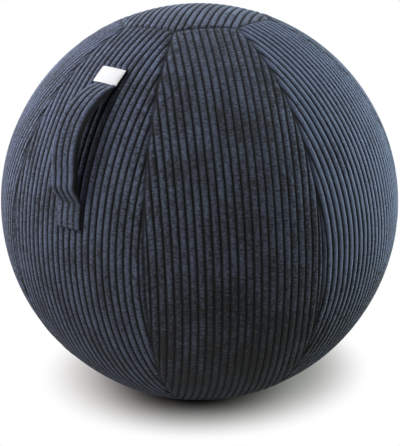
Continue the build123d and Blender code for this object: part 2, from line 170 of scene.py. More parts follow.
class Graph:
    """The nodes of one material or world."""

    def __init__(self, tree: bpy.types.NodeTree) -> None:
        """Starts from an empty tree."""
        self.tree = tree
        tree.nodes.clear()

    def node(
        self,
        kind: str,
        settings: Optional[dict[str, Any]] = None,
        inputs: Optional[dict[Union[int, str], Feed]] = None,
        output: Union[int, str] = 0,
    ) -> Signal:
        """Adds any node: its settings first, then its sockets.

        Args:
            kind: The node's type.
            settings: Its own properties.
            inputs: Values or links by socket name or number.
            output: Which result is wanted.

        Returns:
            That result.
        """
        made = self.tree.nodes.new(kind)
        for key, value in (settings or {}).items():
            setattr(made, key, value)
        for key, value in (inputs or {}).items():
            self.feed(made.inputs[key], value)
        return Signal(self, made.outputs[output] if made.outputs else None)

    def feed(self, socket: bpy.types.NodeSocket, value: Feed) -> None:
        """Links a signal to a socket, or sets its value.

        Args:
            socket: The socket that is fed.
            value: A signal, a number, a colour or a vector.
        """
        if isinstance(value, Signal):
            self.tree.links.new(value.socket, socket)
        elif isinstance(value, tuple) and socket.type == "RGBA":
            socket.default_value = (*value, 1.0)
        else:
            socket.default_value = value

    def blend(self, share: Feed, first: Feed, second: Feed) -> Signal:
        """Mixes two colours."""
        settings = {"data_type": "RGBA", "clamp_factor": True}
        return self.node("ShaderNodeMix", settings, {0: share, 6: first, 7: second}, 2)

    def split(self, vector: Signal) -> tuple[Signal, Signal, Signal]:
        """Takes a vector apart.

        Args:
            vector: The vector.

        Returns:
            Its three parts.
        """
        first = self.node("ShaderNodeSeparateXYZ", None, {0: vector})
        sockets = first.socket.node.outputs
        return first, Signal(self, sockets[1]), Signal(self, sockets[2])

    def cloth(self) -> tuple[Signal, Signal]:
        """The cloth's own coordinates, across and along."""
        return self.split(self.node("ShaderNodeUVMap", {"uv_map": CLOTH_MAP}))[:2]

    def place(self) -> tuple[Signal, Signal, Signal]:
        """The place in the object's own space."""
        return self.split(self.node("ShaderNodeTexCoord", None, None, "Object"))

    def mark(self, name: str) -> Signal:
        """A mark that the mesh carries."""
        return self.node("ShaderNodeAttribute", {"attribute_name": name}, None, "Fac")

    def grain(self, scale: float, detail: float) -> Signal:
        """Noise through the object's own space."""
        x, y, z = self.place()
        return self.noise(x * scale, y * scale, z * scale, detail)

    def noise(self, x: Feed, y: Feed, z: Feed = 0.0, detail: float = 2.0) -> Signal:
        """Noise over coordinates already scaled to its grain."""
        place = self.node("ShaderNodeCombineXYZ", None, {0: x, 1: y, 2: z})
        return self.node("ShaderNodeTexNoise", None, {"Vector": place, "Scale": 1.0, "Detail": detail})

    def bump(self, height: Feed, distance: float) -> Signal:
        """A normal pushed about by a height."""
        return self.node("ShaderNodeBump", None, {"Strength": 1.0, "Distance": distance, "Height": height})

    def mixed(self, share: Feed, first: Signal, second: Signal) -> Signal:
        """Two shaders mixed by a share of the second."""
        return self.node("ShaderNodeMixShader", None, {0: share, 1: first, 2: second})

    def surface(self, **sockets: Feed) -> None:
        """Ends the graph in one shader.

        Args:
            sockets: The shader's sockets, with _ for a space in a name.
        """
        named = {key.replace("_", " "): value for key, value in sockets.items()}
        shader = self.node("ShaderNodeBsdfPrincipled", None, named)
        self.node("ShaderNodeOutputMaterial", None, {"Surface": shader})


# Finishes


@dataclass(frozen=True)
class Finish:
    """A finish: a named material for one slot of the record."""

    name: str
    slot: Optional[Slot]

    def paint(self, graph: Graph) -> None:
        """Adds the finish's nodes."""
        raise NotImplementedError

    def material(self) -> bpy.types.Material:
        """The material, made the first time it is asked for.

        Returns:
            The material.
        """
        found = bpy.data.materials.get(self.name)
        if found is None:
            found = bpy.data.materials.new(self.name)
            found.use_nodes = True
            self.paint(Graph(found.node_tree))
        return found

    def dress(self, piece: bpy.types.Object) -> bpy.types.Object:
        """Puts the finish on a piece.

        Args:
            piece: The piece.

        Returns:
            The same piece.
        """
        piece.data.materials.clear()
        piece.data.materials.append(self.material())
        return piece


@dataclass(frozen=True)
class NapLayer:
    """One layer of the nap's unevenness: its grain per rib across, and in metres along."""

    across: float
    along: float
    depth: float
    detail: float
    share: float
    crushed_share: float = 0.0

    def noise(self, graph: Graph, across: Signal, along: Signal) -> Signal:
        """The layer's noise, from 0 to 1."""
        return graph.noise(across * self.across, along * (1 / self.along), self.depth, self.detail)

    def tone(self, noise: Signal, crush: Signal) -> Signal:
        """How far the noise lightens the nap, more so where it is crushed."""
        return (noise - 0.5) * (self.share + crush * self.crushed_share)


@dataclass(frozen=True)
class CorduroyPile(Finish):
    """Wide-wale corduroy: napped ribs with a velvet sheen over dark grooves, their darkness partly painted
    shade.
    """

    shade: Colour = (0.0378, 0.0394, 0.0432)
    nap: Colour = (0.114, 0.139, 0.214)
    # Groove colour: partly the bare weave between ribs, partly painted shade; the seams' painted shade uses
    # it too.
    groove_cloth_and_shade: Colour = (0.0205, 0.0215, 0.0242)
    sheen: Colour = (0.70, 0.80, 1.0)
    sheen_weight: float = 0.10
    sheen_roughness: float = 0.42
    patches: NapLayer = NapLayer(0.25, 0.055 / 0.9, 3.0, 3.0, 1.6)
    streaks: NapLayer = NapLayer(2.2, 0.009, 7.0, 2.0, 1.1, 2.6)
    dashes: NapLayer = NapLayer(1.9, 0.0030, 11.0, 3.0, 2.8, 0.6)
    lean_step: float = 0.37
    lean_length: float = 0.055
    lean_share: float = 0.7
    base_tone: float = 0.48
    # How far each rib's flanks are painted darker than its crest: painted shade.
    flank_shade_side: tuple[float, float] = (0.2, 0.9)
    flank_shade_drop: float = 0.4
    groove_and_shade_side: tuple[float, float] = (0.38, 0.98)
    seam_shade: float = 0.75
    streak_relief: float = 0.7
    relief: float = 0.0012

    def paint(self, graph: Graph) -> None:
        """Adds the nap's patches, streaks and specks, the grooves' darker cloth with painted shade, painted
        shade down the ribs' flanks and along the seams, and the nap mark's tone, partly painted light and
        shade.

        Args:
            graph: The material's nodes.
        """
        across, along = graph.cloth()
        wale = across.floor()
        place = abs(across.fraction() - 0.5) * 2.0
        crush = graph.mark(CRUSH_MARK)
        lean = graph.noise(wale * self.lean_step, along * (1 / self.lean_length), wale, 1.0)
        # The nap mark raises or lowers the tone by panel and lower down: partly the nap's lie, partly
        # painted light and shade.
        tone = self.base_tone + graph.mark(NAP_AND_LIGHT_MARK) + (lean - 0.5) * self.lean_share
        layers = (self.patches, self.streaks, self.dashes)
        patches, streaks, dashes = (layer.noise(graph, across, along) for layer in layers)
        for layer, noise in zip(layers, (patches, streaks, dashes)):
            tone = tone + layer.tone(noise, crush)
        # Painted shade: each rib is darker down its flanks than on its crest.
        flank_shade = 1.0 - place.ease(*self.flank_shade_side) * self.flank_shade_drop
        pile = graph.blend(tone * flank_shade, self.shade, self.nap)
        # The grooves take a darker colour: partly the bare weave between ribs, partly painted shade.
        pile = graph.blend(place.ease(*self.groove_and_shade_side), pile, self.groove_cloth_and_shade)
        graph.surface(
            Base_Color=graph.blend(graph.mark(SEAM_MARK) * self.seam_shade, pile, self.groove_cloth_and_shade),
            Roughness=0.95,
            Specular_IOR_Level=0.12,
            Sheen_Weight=self.sheen_weight,
            Sheen_Roughness=self.sheen_roughness,
            Sheen_Tint=self.sheen,
            Normal=graph.bump(dashes + streaks * self.streak_relief, self.relief),
        )


@dataclass(frozen=True)
class PlainWeave(Finish):
    """A plain woven cloth, threads over and under."""

    dark: Colour
    light: Colour
    thread: float = 0.0011
    relief: float = 0.0003
    sheen_weight: float = 0.15
    crossing: float = 0.4
    slub_grain: tuple[float, float] = (90.0, 640.0)
    fade_grain: float = 14.0
    base_tone: float = 0.12
    weave_share: float = 0.6
    slub_share: float = 0.7
    fade_share: float = 0.6
    slub_relief: float = 0.4

    def paint(self, graph: Graph) -> None:
        """Adds the two thread directions, their crossings and slubs.

        Args:
            graph: The material's nodes.
        """
        across, along = graph.cloth()
        turn = math.pi / self.thread
        warp = abs((across * turn).sine())
        weft = abs((along * turn).sine())
        pairs = (across * turn * 0.5).sine() * (along * turn * 0.5).sine()
        over = pairs.ease(-self.crossing, self.crossing)
        weave = over * warp + (1.0 - over) * weft
        slub = graph.noise(across * self.slub_grain[0], along * self.slub_grain[1], 2.0, 2.0)
        fade = graph.noise(across * self.fade_grain, along * self.fade_grain, 5.0, 3.0)
        tone = weave * self.weave_share + (slub - 0.5) * self.slub_share
        tone = tone + (fade - 0.5) * self.fade_share + self.base_tone
        graph.surface(
            Base_Color=graph.blend(tone, self.dark, self.light),
            Roughness=0.88 - slub * 0.1,
            Specular_IOR_Level=0.2,
            Sheen_Weight=self.sheen_weight,
            Normal=graph.bump(weave + slub * self.slub_relief, self.relief),
        )


@dataclass(frozen=True)
class TwistedThread(Finish):
    """Sewing thread, two plies twisted together."""

    dark: Colour
    light: Colour
    twist: float = 0.0006
    fuzz_grain: tuple[float, float] = (6.0, 3000.0)
    ply_share: float = 0.7
    fuzz_share: float = 0.6
    fuzz_middle: float = 0.3
    fuzz_relief: float = 0.3
    relief: float = 0.00012

    def paint(self, graph: Graph) -> None:
        """Adds the plies' slant and a little fuzz.

        Args:
            graph: The material's nodes.
        """
        round_share, along = graph.cloth()
        plies = abs((along * (math.pi / self.twist) + round_share * math.pi).sine())
        fuzz = graph.noise(round_share * self.fuzz_grain[0], along * self.fuzz_grain[1])
        tone = plies * self.ply_share + (fuzz - self.fuzz_middle) * self.fuzz_share
        graph.surface(
            Base_Color=graph.blend(tone, self.dark, self.light),
            Roughness=0.7,
            Sheen_Weight=0.2,
            Normal=graph.bump(plies + fuzz * self.fuzz_relief, self.relief),
        )


@dataclass(frozen=True)
class MouldedPlastic(Finish):
    """Moulded plastic or vinyl: fine skin grain, slightly worn gloss, moulded rings if it has any."""

    dark: Colour
    light: Colour
    roughness: float = 0.42
    ring_step: float = 0.0
    coat: float = 0.0
    wear_grain: float = 18.0
    skin_grain: float = 1400.0
    skin_relief: float = 0.25
    ring_edge: float = 0.6
    wear_share: float = 0.8
    skin_share: float = 0.3
    wear_gloss: float = 0.3
    relief: float = 0.00025

    def paint(self, graph: Graph) -> None:
        """Adds the grain, the wear and the rings.

        Args:
            graph: The material's nodes.
        """
        wear, skin = graph.grain(self.wear_grain, 4.0), graph.grain(self.skin_grain, 1.0)
        height = skin * self.skin_relief
        if self.ring_step:
            rings = (graph.place()[2] * (FULL_TURN / self.ring_step)).sine()
            height = height + rings.ease(self.ring_edge, 1.0)
        tone = wear * self.wear_share + skin * self.skin_share
        graph.surface(
            Base_Color=graph.blend(tone, self.dark, self.light),
            Roughness=self.roughness + (wear - 0.5) * self.wear_gloss,
            Coat_Weight=self.coat,
            Normal=graph.bump(height, self.relief),
        )


@dataclass(frozen=True)
class PlatedMetal(Finish):
    """Die-cast metal with a dark plating, brighter where it is rubbed."""

    plate: Colour
    rubbed: Colour
    rub_grain: float = 240.0
    pit_grain: float = 2600.0
    rub_edges: tuple[float, float] = (0.4, 0.7)
    roughness: float = 0.24
    rub_gloss: float = 0.2
    pit_gloss: float = 0.1
    relief: float = 0.00005

    def paint(self, graph: Graph) -> None:
        """Adds the casting's grain and the rubbed patches.

        Args:
            graph: The material's nodes.
        """
        rub, pits = graph.grain(self.rub_grain, 3.0), graph.grain(self.pit_grain, 1.0)
        graph.surface(
            Base_Color=graph.blend(rub.ease(*self.rub_edges), self.plate, self.rubbed),
            Metallic=1.0,
            Roughness=self.roughness + rub * self.rub_gloss + (pits - 0.5) * self.pit_gloss,
            Normal=graph.bump(pits, self.relief),
        )


@dataclass(frozen=True)
class StudioPaper(Finish):
    """The pale studio floor, white to the camera away from the shadow."""

    tint: Colour = (0.44, 0.41, 0.36)
    shown_tint: Colour = (0.338, 0.312, 0.290)
    shadow_inner: float = 0.150
    shadow_outer: float = 0.300
    shadow_squeeze: float = 1.25
    fibre_grain: float = 420.0
    fibre_share: float = 0.02

    def paint(self, graph: Graph) -> None:
        """Adds matt paper, with painted white light of its own for the camera away from the ball's foot.

        Args:
            graph: The material's nodes.
        """
        x, y, _ = graph.place()
        fibre = graph.noise(x * self.fibre_grain, y * self.fibre_grain, 0.0, 2.0)
        seen = graph.node("ShaderNodeLightPath", None, None, "Is Camera Ray")
        # The camera sees a darker tint than the paper bounces, which deepens the shadow it shows.
        tints = (self.tint, self.shown_tint)
        matt = (graph.node("ShaderNodeBsdfDiffuse", None, {"Color": tint}) for tint in tints)
        paper = graph.mixed(seen * (1.0 - self.fibre_share + fibre * self.fibre_share), *matt)
        cos, sin = math.cos(math.radians(CAMERA_AZIMUTH)), math.sin(math.radians(CAMERA_AZIMUTH))
        across, toward = y * cos - x * sin, (x * cos + y * sin) * self.shadow_squeeze
        # Painted light: beyond an ellipse round the ball's foot the paper glows white to the camera, fading
        # the real shadow out.
        away = (across * across + toward * toward).ease(self.shadow_inner**2, self.shadow_outer**2)
        light = graph.node("ShaderNodeEmission", None, {"Color": WHITE, "Strength": 1.0})
        shown = graph.mixed(seen * away, paper, light)
        graph.node("ShaderNodeOutputMaterial", None, {"Surface": shown})


CORDUROY = CorduroyPile("slate_corduroy", Slot.CORDUROY)
BASE_CLOTH = PlainWeave("base_canvas", Slot.BASE_CLOTH, (0.010, 0.011, 0.014), (0.055, 0.058, 0.070))
ZIP_CLOTH = PlainWeave(
    "zip_tape_weave", Slot.ZIP_TAPE, (0.006, 0.006, 0.008), (0.035, 0.036, 0.043), 0.0007, relief=0.0002
)
SLEEVE_CLOTH = PlainWeave(
    "sleeve_lining", Slot.BASE_CLOTH, (0.02, 0.021, 0.025), (0.09, 0.093, 0.105), thread=0.0006
)
WEBBING = PlainWeave(
    "handle_webbing", Slot.WEBBING, (0.012, 0.012, 0.013), (0.06, 0.06, 0.065), thread=0.0022, relief=0.0006
)
LABEL_WEAVE = PlainWeave(
    "bare_label_weave", Slot.LABEL, (0.72, 0.72, 0.71), (0.93, 0.93, 0.915), thread=0.0006, relief=0.00012
)
DARK_THREAD = TwistedThread("slate_thread", Slot.THREAD, (0.02, 0.022, 0.03), (0.11, 0.12, 0.15))
PALE_THREAD = TwistedThread("pale_thread", Slot.THREAD, (0.45, 0.45, 0.46), (0.85, 0.85, 0.86))
COIL_PLASTIC = MouldedPlastic(
    "coil_monofilament", Slot.ZIP_COIL, (0.012, 0.012, 0.014), (0.035, 0.035, 0.04), roughness=0.35
)
RING_PLASTIC = MouldedPlastic("ring_plastic", Slot.STAND_RING, (0.02, 0.02, 0.022), (0.05, 0.05, 0.053))
BLADDER_VINYL = MouldedPlastic(
    "ball_vinyl",
    Slot.BLADDER,
    (0.10, 0.115, 0.135),
    (0.17, 0.185, 0.21),
    roughness=0.38,
    ring_step=0.014,
    coat=0.15,
)
PLUG_PLASTIC = MouldedPlastic("plug_plastic", Slot.PLUG, (0.55, 0.55, 0.54), (0.72, 0.72, 0.70), 0.4)
ZIP_METAL = PlatedMetal("zip_plating", Slot.ZIP_METAL, (0.09, 0.09, 0.10), (0.33, 0.33, 0.34))
PAPER = StudioPaper("studio_paper", None)


# Mesh kit


def ease(low: float, high: float, value: np.ndarray) -> np.ndarray:
    """Runs smoothly from 0 to 1 between two values."""
    share = np.clip((value - low) / (high - low), 0.0, 1.0)
    return share * share * (3.0 - 2.0 * share)


@dataclass(frozen=True)
class Unevenness:
    """Smooth seeded unevenness over two coordinates, from -1 to 1."""

    seed: int
    cells: int = 96

    def at(self, x: np.ndarray, y: np.ndarray) -> np.ndarray:
        """The unevenness at places.

        Args:
            x: First coordinates, one cell per unit.
            y: Second coordinates.

        Returns:
            A value for each place.
        """
        table = np.random.default_rng(self.seed).uniform(-1.0, 1.0, (self.cells, self.cells))
        column, row = np.floor(x).astype(int), np.floor(y).astype(int)
        s, t = ease(0.0, 1.0, x - column), ease(0.0, 1.0, y - row)
        left, right = column % self.cells, (column + 1) % self.cells
        low, high = row % self.cells, (row + 1) % self.cells
        bottom = table[left, low] * (1 - s) + table[right, low] * s
        top = table[left, high] * (1 - s) + table[right, high] * s
        return bottom * (1 - t) + top * t


@dataclass(frozen=True)
class Ripple:
    """One layer of unevenness in cloth: its size, its cells per unit across and its cells' length along."""

    layer: int
    size: float
    across: float
    along: float
    shift: tuple[float, float]

    def at(self, seed: int, place: np.ndarray, run: np.ndarray) -> np.ndarray:
        """The unevenness at places."""
        x, y = place * self.across + self.shift[0], run / self.along + self.shift[1]
        return self.size * Unevenness(seed + self.layer).at(x, y)


def grid_faces(columns: int, rows: int, start: int = 0, flip: bool = False) -> list[list[int]]:
    """The four-sided faces of a grid of points.

    Args:
        columns: How many columns of points.
        rows: How many points in a column.
        start: The first point's number.
        flip: Whether the faces look the other way.

    Returns:
        The faces.
    """
    index = np.arange(columns * rows).reshape(columns, rows) + start
    quads = np.stack([index[:-1, :-1], index[1:, :-1], index[1:, 1:], index[:-1, 1:]], -1).reshape(-1, 4)
    return (quads[:, ::-1] if flip else quads).tolist()


@dataclass
class Shape:
    """A mesh in the making: points, faces, cloth coordinates and marks that its finish reads."""

    points: np.ndarray
    faces: list[list[int]]
    coords: np.ndarray
    marks: dict[str, np.ndarray] = field(default_factory=dict)

    def joined(self, other: "Shape") -> "Shape":
        """This and another shape as one.

        Args:
            other: The other shape.

        Returns:
            Both together.
        """
        shift = len(self.points)
        faces = self.faces + [[corner + shift for corner in face] for face in other.faces]
        return Shape(
            np.concatenate([self.points, other.points]),
            faces,
            np.concatenate([self.coords, other.coords]),
        )

    def made(self, name: str, finish: Finish, crease: float = 50.0) -> bpy.types.Object:
        """Makes the object, with coinciding points welded.

        Args:
            name: The piece's name.
            finish: The finish it is dressed in.
            crease: Edges that bend more than this many degrees stay sharp.

        Returns:
            The object, linked to the scene.
        """
        mesh = bpy.data.meshes.new(name)
        mesh.from_pydata(self.points.tolist(), [], self.faces)
        corners = np.empty(len(mesh.loops), np.int32)
        mesh.loops.foreach_get("vertex_index", corners)
        layer = mesh.uv_layers.new(name=CLOTH_MAP)
        layer.data.foreach_set("uv", self.coords[corners].astype(np.float32).ravel())
        for key, values in self.marks.items():
            mark = mesh.attributes.new(key, "FLOAT", "POINT")
            mark.data.foreach_set("value", values.astype(np.float32))
        work = bmesh.new()
        work.from_mesh(mesh)
        bmesh.ops.remove_doubles(work, verts=work.verts, dist=1e-6)
        work.to_mesh(mesh)
        work.free()
        mesh.shade_smooth()
        mesh.set_sharp_from_angle(angle=math.radians(crease))
        piece = bpy.data.objects.new(name, mesh)
        bpy.context.scene.collection.objects.link(piece)
        LOG.info("%s: %d faces", name, len(mesh.polygons))
        return finish.dress(piece)


def swept(path: np.ndarray, across: np.ndarray, normal: np.ndarray, sections: np.ndarray) -> Shape:
    """A closed shape: a looped section carried along a path.

    Args:
        path: The points that it follows.
        across: The direction across the section at each point.
        normal: The section's other direction at each point.
        sections: The looped section's points at each place, the first repeated last.

    Returns:
        The shape, with both ends closed.
    """
    places, loop = sections.shape[:2]
    points = path[:, None] + across[:, None] * sections[..., :1] + normal[:, None] * sections[..., 1:]
    run = np.concatenate([[0.0], np.cumsum(np.linalg.norm(np.diff(path, axis=0), axis=1))])
    step = np.linalg.norm(np.diff(sections, axis=1), axis=2)
    round_way = np.concatenate([np.zeros((places, 1)), np.cumsum(step, axis=1)], axis=1)
    coords = np.stack([round_way, np.broadcast_to(run[:, None], round_way.shape)], -1)
    faces = grid_faces(places, loop)
    faces.append(list(range(loop - 1)))
    faces.append([(places - 1) * loop + i for i in reversed(range(loop - 1))])
    return Shape(points.reshape(-1, 3), faces, coords.reshape(-1, 2))


def pipe(path: np.ndarray, normal: np.ndarray, radius: float, sides: int) -> Shape:
    """A round thread along a path.

    Args:
        path: The points that it follows.
        normal: A direction square to the path at each point.
        radius: The thread's radius.
        sides: How many sides it has.

    Returns:
        The shape.
    """
    tangent = np.gradient(path, axis=0)
    tangent /= np.linalg.norm(tangent, axis=1, keepdims=True)
    across = np.cross(tangent, normal)
    across /= np.linalg.norm(across, axis=1, keepdims=True)
    angle = np.linspace(0.0, FULL_TURN, sides + 1)
    ring = np.stack([np.cos(angle), np.sin(angle)], -1) * radius
    return swept(path, across, np.cross(across, tangent), np.broadcast_to(ring, (len(path), sides + 1, 2)))


def stitched(runs: list[tuple[np.ndarray, np.ndarray]], radius: float) -> Shape:
    """Short stitches as one shape.

    Args:
        runs: Each stitch's path, and a direction square to it at each point.
        radius: The thread's radius.

    Returns:
        The shape.
    """
    whole, *others = [pipe(path, normal, radius, STITCH_SIDES) for path, normal in runs]
    for other in others:
        whole = whole.joined(other)
    return whole


def turned(profile: np.ndarray, columns: int, flat_coords: bool = False) -> Shape:
    """A profile turned right round the ball's upright axis.

    Args:
        profile: Looped points as distance from the axis and height, the first repeated last.
        columns: How many steps there are in the turn.
        flat_coords: Whether the cloth's coordinates are read from above.

    Returns:
        The shape.
    """
    angle = np.linspace(0.0, FULL_TURN, columns + 1)
    distance, height = profile[:, 0], profile[:, 1]
    x, y = np.outer(np.cos(angle), distance), np.outer(np.sin(angle), distance)
    points = np.stack([x, y, np.broadcast_to(height, x.shape)], -1)
    if flat_coords:
        coords = np.stack([x, y], -1)
    else:
        step = np.linalg.norm(np.diff(profile, axis=0), axis=1)
        run = np.concatenate([[0.0], np.cumsum(step)])
        round_way = np.broadcast_to((angle * distance.max())[:, None], x.shape)
        coords = np.stack([round_way, np.broadcast_to(run, x.shape)], -1)
    return Shape(points.reshape(-1, 3), grid_faces(columns + 1, len(profile)), coords.reshape(-1, 2))


def stand_in(piece: bpy.types.Object, *nodes: str) -> bpy.types.Object:
    """Puts a piece on the cover in place of nodes."""
    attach(piece, Body.COVER.value)
    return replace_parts(piece, *nodes)


# The ball and its cover


@dataclass(frozen=True)
class BallShape:
    """The ball that everything is laid out on, in metres and degrees."""

    radius: float = 0.325
    base_radius: float = 0.100
    base_corner: float = 0.030
    panels: int = 8
    cap_corner_radius: float = 0.120
    zip_radius: float = 0.1575
    zip_window: float = 0.014
    handle_elevation: float = 32.4
    handle_offset: float = 0.009

    @property
    def centre(self) -> np.ndarray:
        """The ball's centre."""
        return UP * math.sqrt(self.radius**2 - self.base_radius**2)

    @property
    def panel_half(self) -> float:
        """Half the angle that a side panel takes up."""
        return math.pi / self.panels

    @property
    def first_azimuth(self) -> float:
        """The azimuth of the first side panel's middle, beside the handle's."""
        level = self.radius * math.cos(math.radians(self.handle_elevation))
        return -math.pi / 2 - self.handle_offset / level

    @property
    def cap_corner_polar(self) -> float:
        """The angle from the top to a corner of the cap."""
        return math.asin(self.cap_corner_radius / self.radius)

    @property
    def cap_edge_polar(self) -> float:
        """The angle from the top to the middle of a cap's edge."""
        return math.atan(math.tan(self.cap_corner_polar) * math.cos(self.panel_half))

    @property
    def zip_beta(self) -> float:
        """The angle from the bottom up to the zip."""
        return math.asin(self.zip_radius / self.radius)

    @property
    def window_half(self) -> float:
        """Half the angle of the gap that the zip shows in."""
        return self.zip_window / 2 / self.radius


@dataclass(frozen=True)
class Ribs:
    """Corduroy ribs, and how a sewn edge draws them in, in metres."""

    pitch: float = 0.0109
    depth: float = 0.0026
    fullness: float = 2.6
    shoulder: float = 0.85
    valley: float = 0.0026
    valley_width: float = 0.0030
    fade: float = 0.0042
    press: float = 0.0006
    press_width: float = 0.012
    press_edge: float = 0.003
    hem_drop: float = 0.0016
    hem_reach: float = 0.004
    pucker_reach: float = 0.010
    swell: Ripple = Ripple(0, 0.16, 0.73, 0.045, (11.0, 40.0))
    pucker: Ripple = Ripple(1, 0.0005, 0.9, 0.011, (50.0, 70.0))
    dents: Ripple = Ripple(2, 0.0004, 0.14, 0.060, (30.0, 30.0))
    sway: Ripple = Ripple(3, 0.00035, 0.0109 / 0.03, 0.07, (20.0, 20.0))
    samples: tuple[float, ...] = (0.0, 0.045, 0.11, 0.20, 0.32, 0.46, 0.54, 0.68, 0.80, 0.89, 0.955)

    def height(self, place: np.ndarray) -> np.ndarray:
        """How high a rib stands, from 0 in a groove to 1 on its crest."""
        side = np.abs(2.0 * (place - np.floor(place)) - 1.0)
        return (1.0 - side**self.fullness) ** self.shoulder


@dataclass(frozen=True)
class Edge:
    """One edge of a cut: the plane that it lies in, facing into the cut."""

    normal: np.ndarray
    lift: float = 0.0
    sewn: bool = True

    def distance(self, spots: np.ndarray) -> np.ndarray:
        """The angle from the edge."""
        return np.arcsin(np.clip(spots @ self.normal, -1.0, 1.0)) + math.asin(self.lift)


@dataclass(frozen=True)
class CorduroyCut:
    """One piece of corduroy stretched on the ball, ribbed one way and drawn in at its seams."""

    name: str
    ball: BallShape
    ribs: Ribs
    out: np.ndarray
    along: np.ndarray
    edges: tuple[Edge, ...]
    reach: float
    seed: int
    # The tone high and low on the cut: partly the nap's lie, partly painted light and shade.
    nap_and_light_tone: tuple[float, float] = (0.0, 0.0)
    thickness: float = 0.003
    allowance: float = 0.0026
    allowance_width: float = 0.012
    allowance_edge: float = 0.001
    sway_fade: float = 0.02
    seam_width: float = 0.0024
    crush_reach: float = 0.014
    # The band low on the ball where the second tone holds: painted shade on most panels, painted light on a
    # few.
    lower_shade_band_top: tuple[float, float] = (-0.45, 0.15)
    lower_shade_band_foot: tuple[float, float] = (-1.05, -0.55)
    wale_offset: float = 40.0
    end_gap: float = 0.00005
    clear_gaps: int = 8
    end_rows: tuple[float, ...] = (0.0, 0.0009, 0.0018, 0.0028, 0.004, 0.0055, 0.0075, 0.010, 0.013, 0.017)
    middle_rows: int = 96
    inner_columns: int = 5
    inner_rows: int = 4

    def columns(self) -> np.ndarray:
        """The angles of the columns of points, along the ribs' grooves and flanks."""
        step = self.ribs.pitch / self.ball.radius
        count = math.ceil(self.reach / step)
        turns = (np.arange(-count, count)[:, None] + np.array(self.ribs.samples)) * step
        inside = turns[np.abs(turns) < self.reach - self.clear_gaps * self.end_gap / self.ball.radius]
        end = self.reach - self.end_gap / self.ball.radius
        return np.concatenate([[-end], inside, [end]])

    def spans(self, turns: np.ndarray) -> tuple[np.ndarray, np.ndarray]:
        """Where each column starts and ends.

        Args:
            turns: The columns' angles.

        Returns:
            The first and last angle along each column.
        """
        across = np.cross(self.along, self.out)
        low = np.full(turns.shape, -math.pi / 2)
        high = np.full(turns.shape, math.pi / 2)
        for edge in self.edges:
            level, rise = edge.normal @ self.out, edge.normal @ self.along
            need = np.sin(turns) * (edge.normal @ across) + edge.lift
            need = need / (np.cos(turns) * math.hypot(level, rise))
            middle = math.atan2(rise, level)
            half = np.arccos(np.clip(-need, -1.0, 1.0))
            low = np.maximum(low, middle - half)
            high = np.minimum(high, middle + half)
        return low, high

    def rows(self, low: np.ndarray, high: np.ndarray) -> np.ndarray:
        """The angles of the points along every column, closer together at its ends.

        Args:
            low: Each column's first angle.
            high: Each column's last angle.

        Returns:
            The angles, one row of them for each column.
        """
        length = (high - low)[:, None]
        ends = np.array(self.end_rows)[None] / self.ball.radius
        ends = ends * np.minimum(1.0, length / (4 * ends.max()))
        share = np.linspace(0.0, 1.0, self.middle_rows + 2)[None, 1:-1]
        middle = ends[:, -1:] + share * (length - 2 * ends[:, -1:])
        return low[:, None] + np.concatenate([ends, middle, length - ends[:, ::-1]], axis=1)

    def spots(self, turn: np.ndarray, rise: np.ndarray) -> np.ndarray:
        """Places on a ball of radius 1.

        Args:
            turn: Angles across the ribs.
            rise: Angles along them.

        Returns:
            The places, as directions from the ball's centre.
        """
        across = np.cross(self.along, self.out)
        flat = np.cos(rise)[..., None] * self.out + np.sin(rise)[..., None] * self.along
        return np.sin(turn)[..., None] * across + np.cos(turn)[..., None] * flat

    def relief(self, place: np.ndarray, run: np.ndarray, near: np.ndarray, hem: np.ndarray) -> np.ndarray:
        """How far the cloth stands above the ball.

        Args:
            place: Places across, in ribs.
            run: Places along the ribs, in metres.
            near: Distances from the nearest seam, in metres.
            hem: Distances from the hem, in metres.

        Returns:
            The heights, in metres.
        """
        ribs = self.ribs
        fade = ease(0.0, ribs.fade, near)
        swell = 1.0 + ribs.swell.at(self.seed, np.floor(place), run)
        pucker, dents = (layer.at(self.seed, place, run) for layer in (ribs.pucker, ribs.dents))
        lift = -ribs.depth * swell * (1.0 - ribs.height(place)) * fade
        lift -= ribs.valley * np.exp(-((near / ribs.valley_width) ** 2))
        pressed = (ribs.press_width - ribs.press_edge, ribs.press_width + ribs.press_edge)
        lift += ribs.press * (1.0 - ease(*pressed, near))
        lift += fade * (pucker * np.exp(-near / ribs.pucker_reach) + dents)
        return lift - ribs.hem_drop * np.clip(1.0 - hem / ribs.hem_reach, 0.0, 1.0) ** 2

    def shape(self) -> Shape:
        """The cut as a closed thin shell: ribbed outside, plain and coarser inside.

        Returns:
            The shape.
        """
        radius, centre = self.ball.radius, self.ball.centre
        turns = self.columns()
        rise = self.rows(*self.spans(turns))
        turn = np.broadcast_to(turns[:, None], rise.shape)
        place, run = turn * radius / self.ribs.pitch, rise * radius
        flat = self.spots(turn, rise)
        seams = [edge.distance(flat) for edge in self.edges if edge.sewn]
        hems = [edge.distance(flat) for edge in self.edges if not edge.sewn] or [np.ones(rise.shape)]
        near, hem = (np.clip(np.min(edges, axis=0), 0.0, None) * radius for edges in (seams, hems))
        sway = self.ribs.sway.at(self.seed, place, run) / radius
        spots = self.spots(turn + sway * ease(0.0, self.sway_fade, near), rise)
        outer = centre + spots * (radius + self.relief(place, run, near, hem))[..., None]
        folded = 1.0 - ease(self.allowance_width, self.allowance_width + self.allowance_edge, near)
        inner = centre + flat * (radius - self.thickness - self.allowance * folded)[..., None]
        coords = np.stack([place + self.wale_offset * self.seed, run], -1)
        # Painted light and shade: the second tone holds in a band low on the ball.
        low = (1.0 - ease(*self.lower_shade_band_top, flat[..., 2])) * ease(*self.lower_shade_band_foot, flat[..., 2])
        nap = self.nap_and_light_tone[0] + (self.nap_and_light_tone[1] - self.nap_and_light_tone[0]) * low
        return self.shell(outer, inner, coords, near, nap)

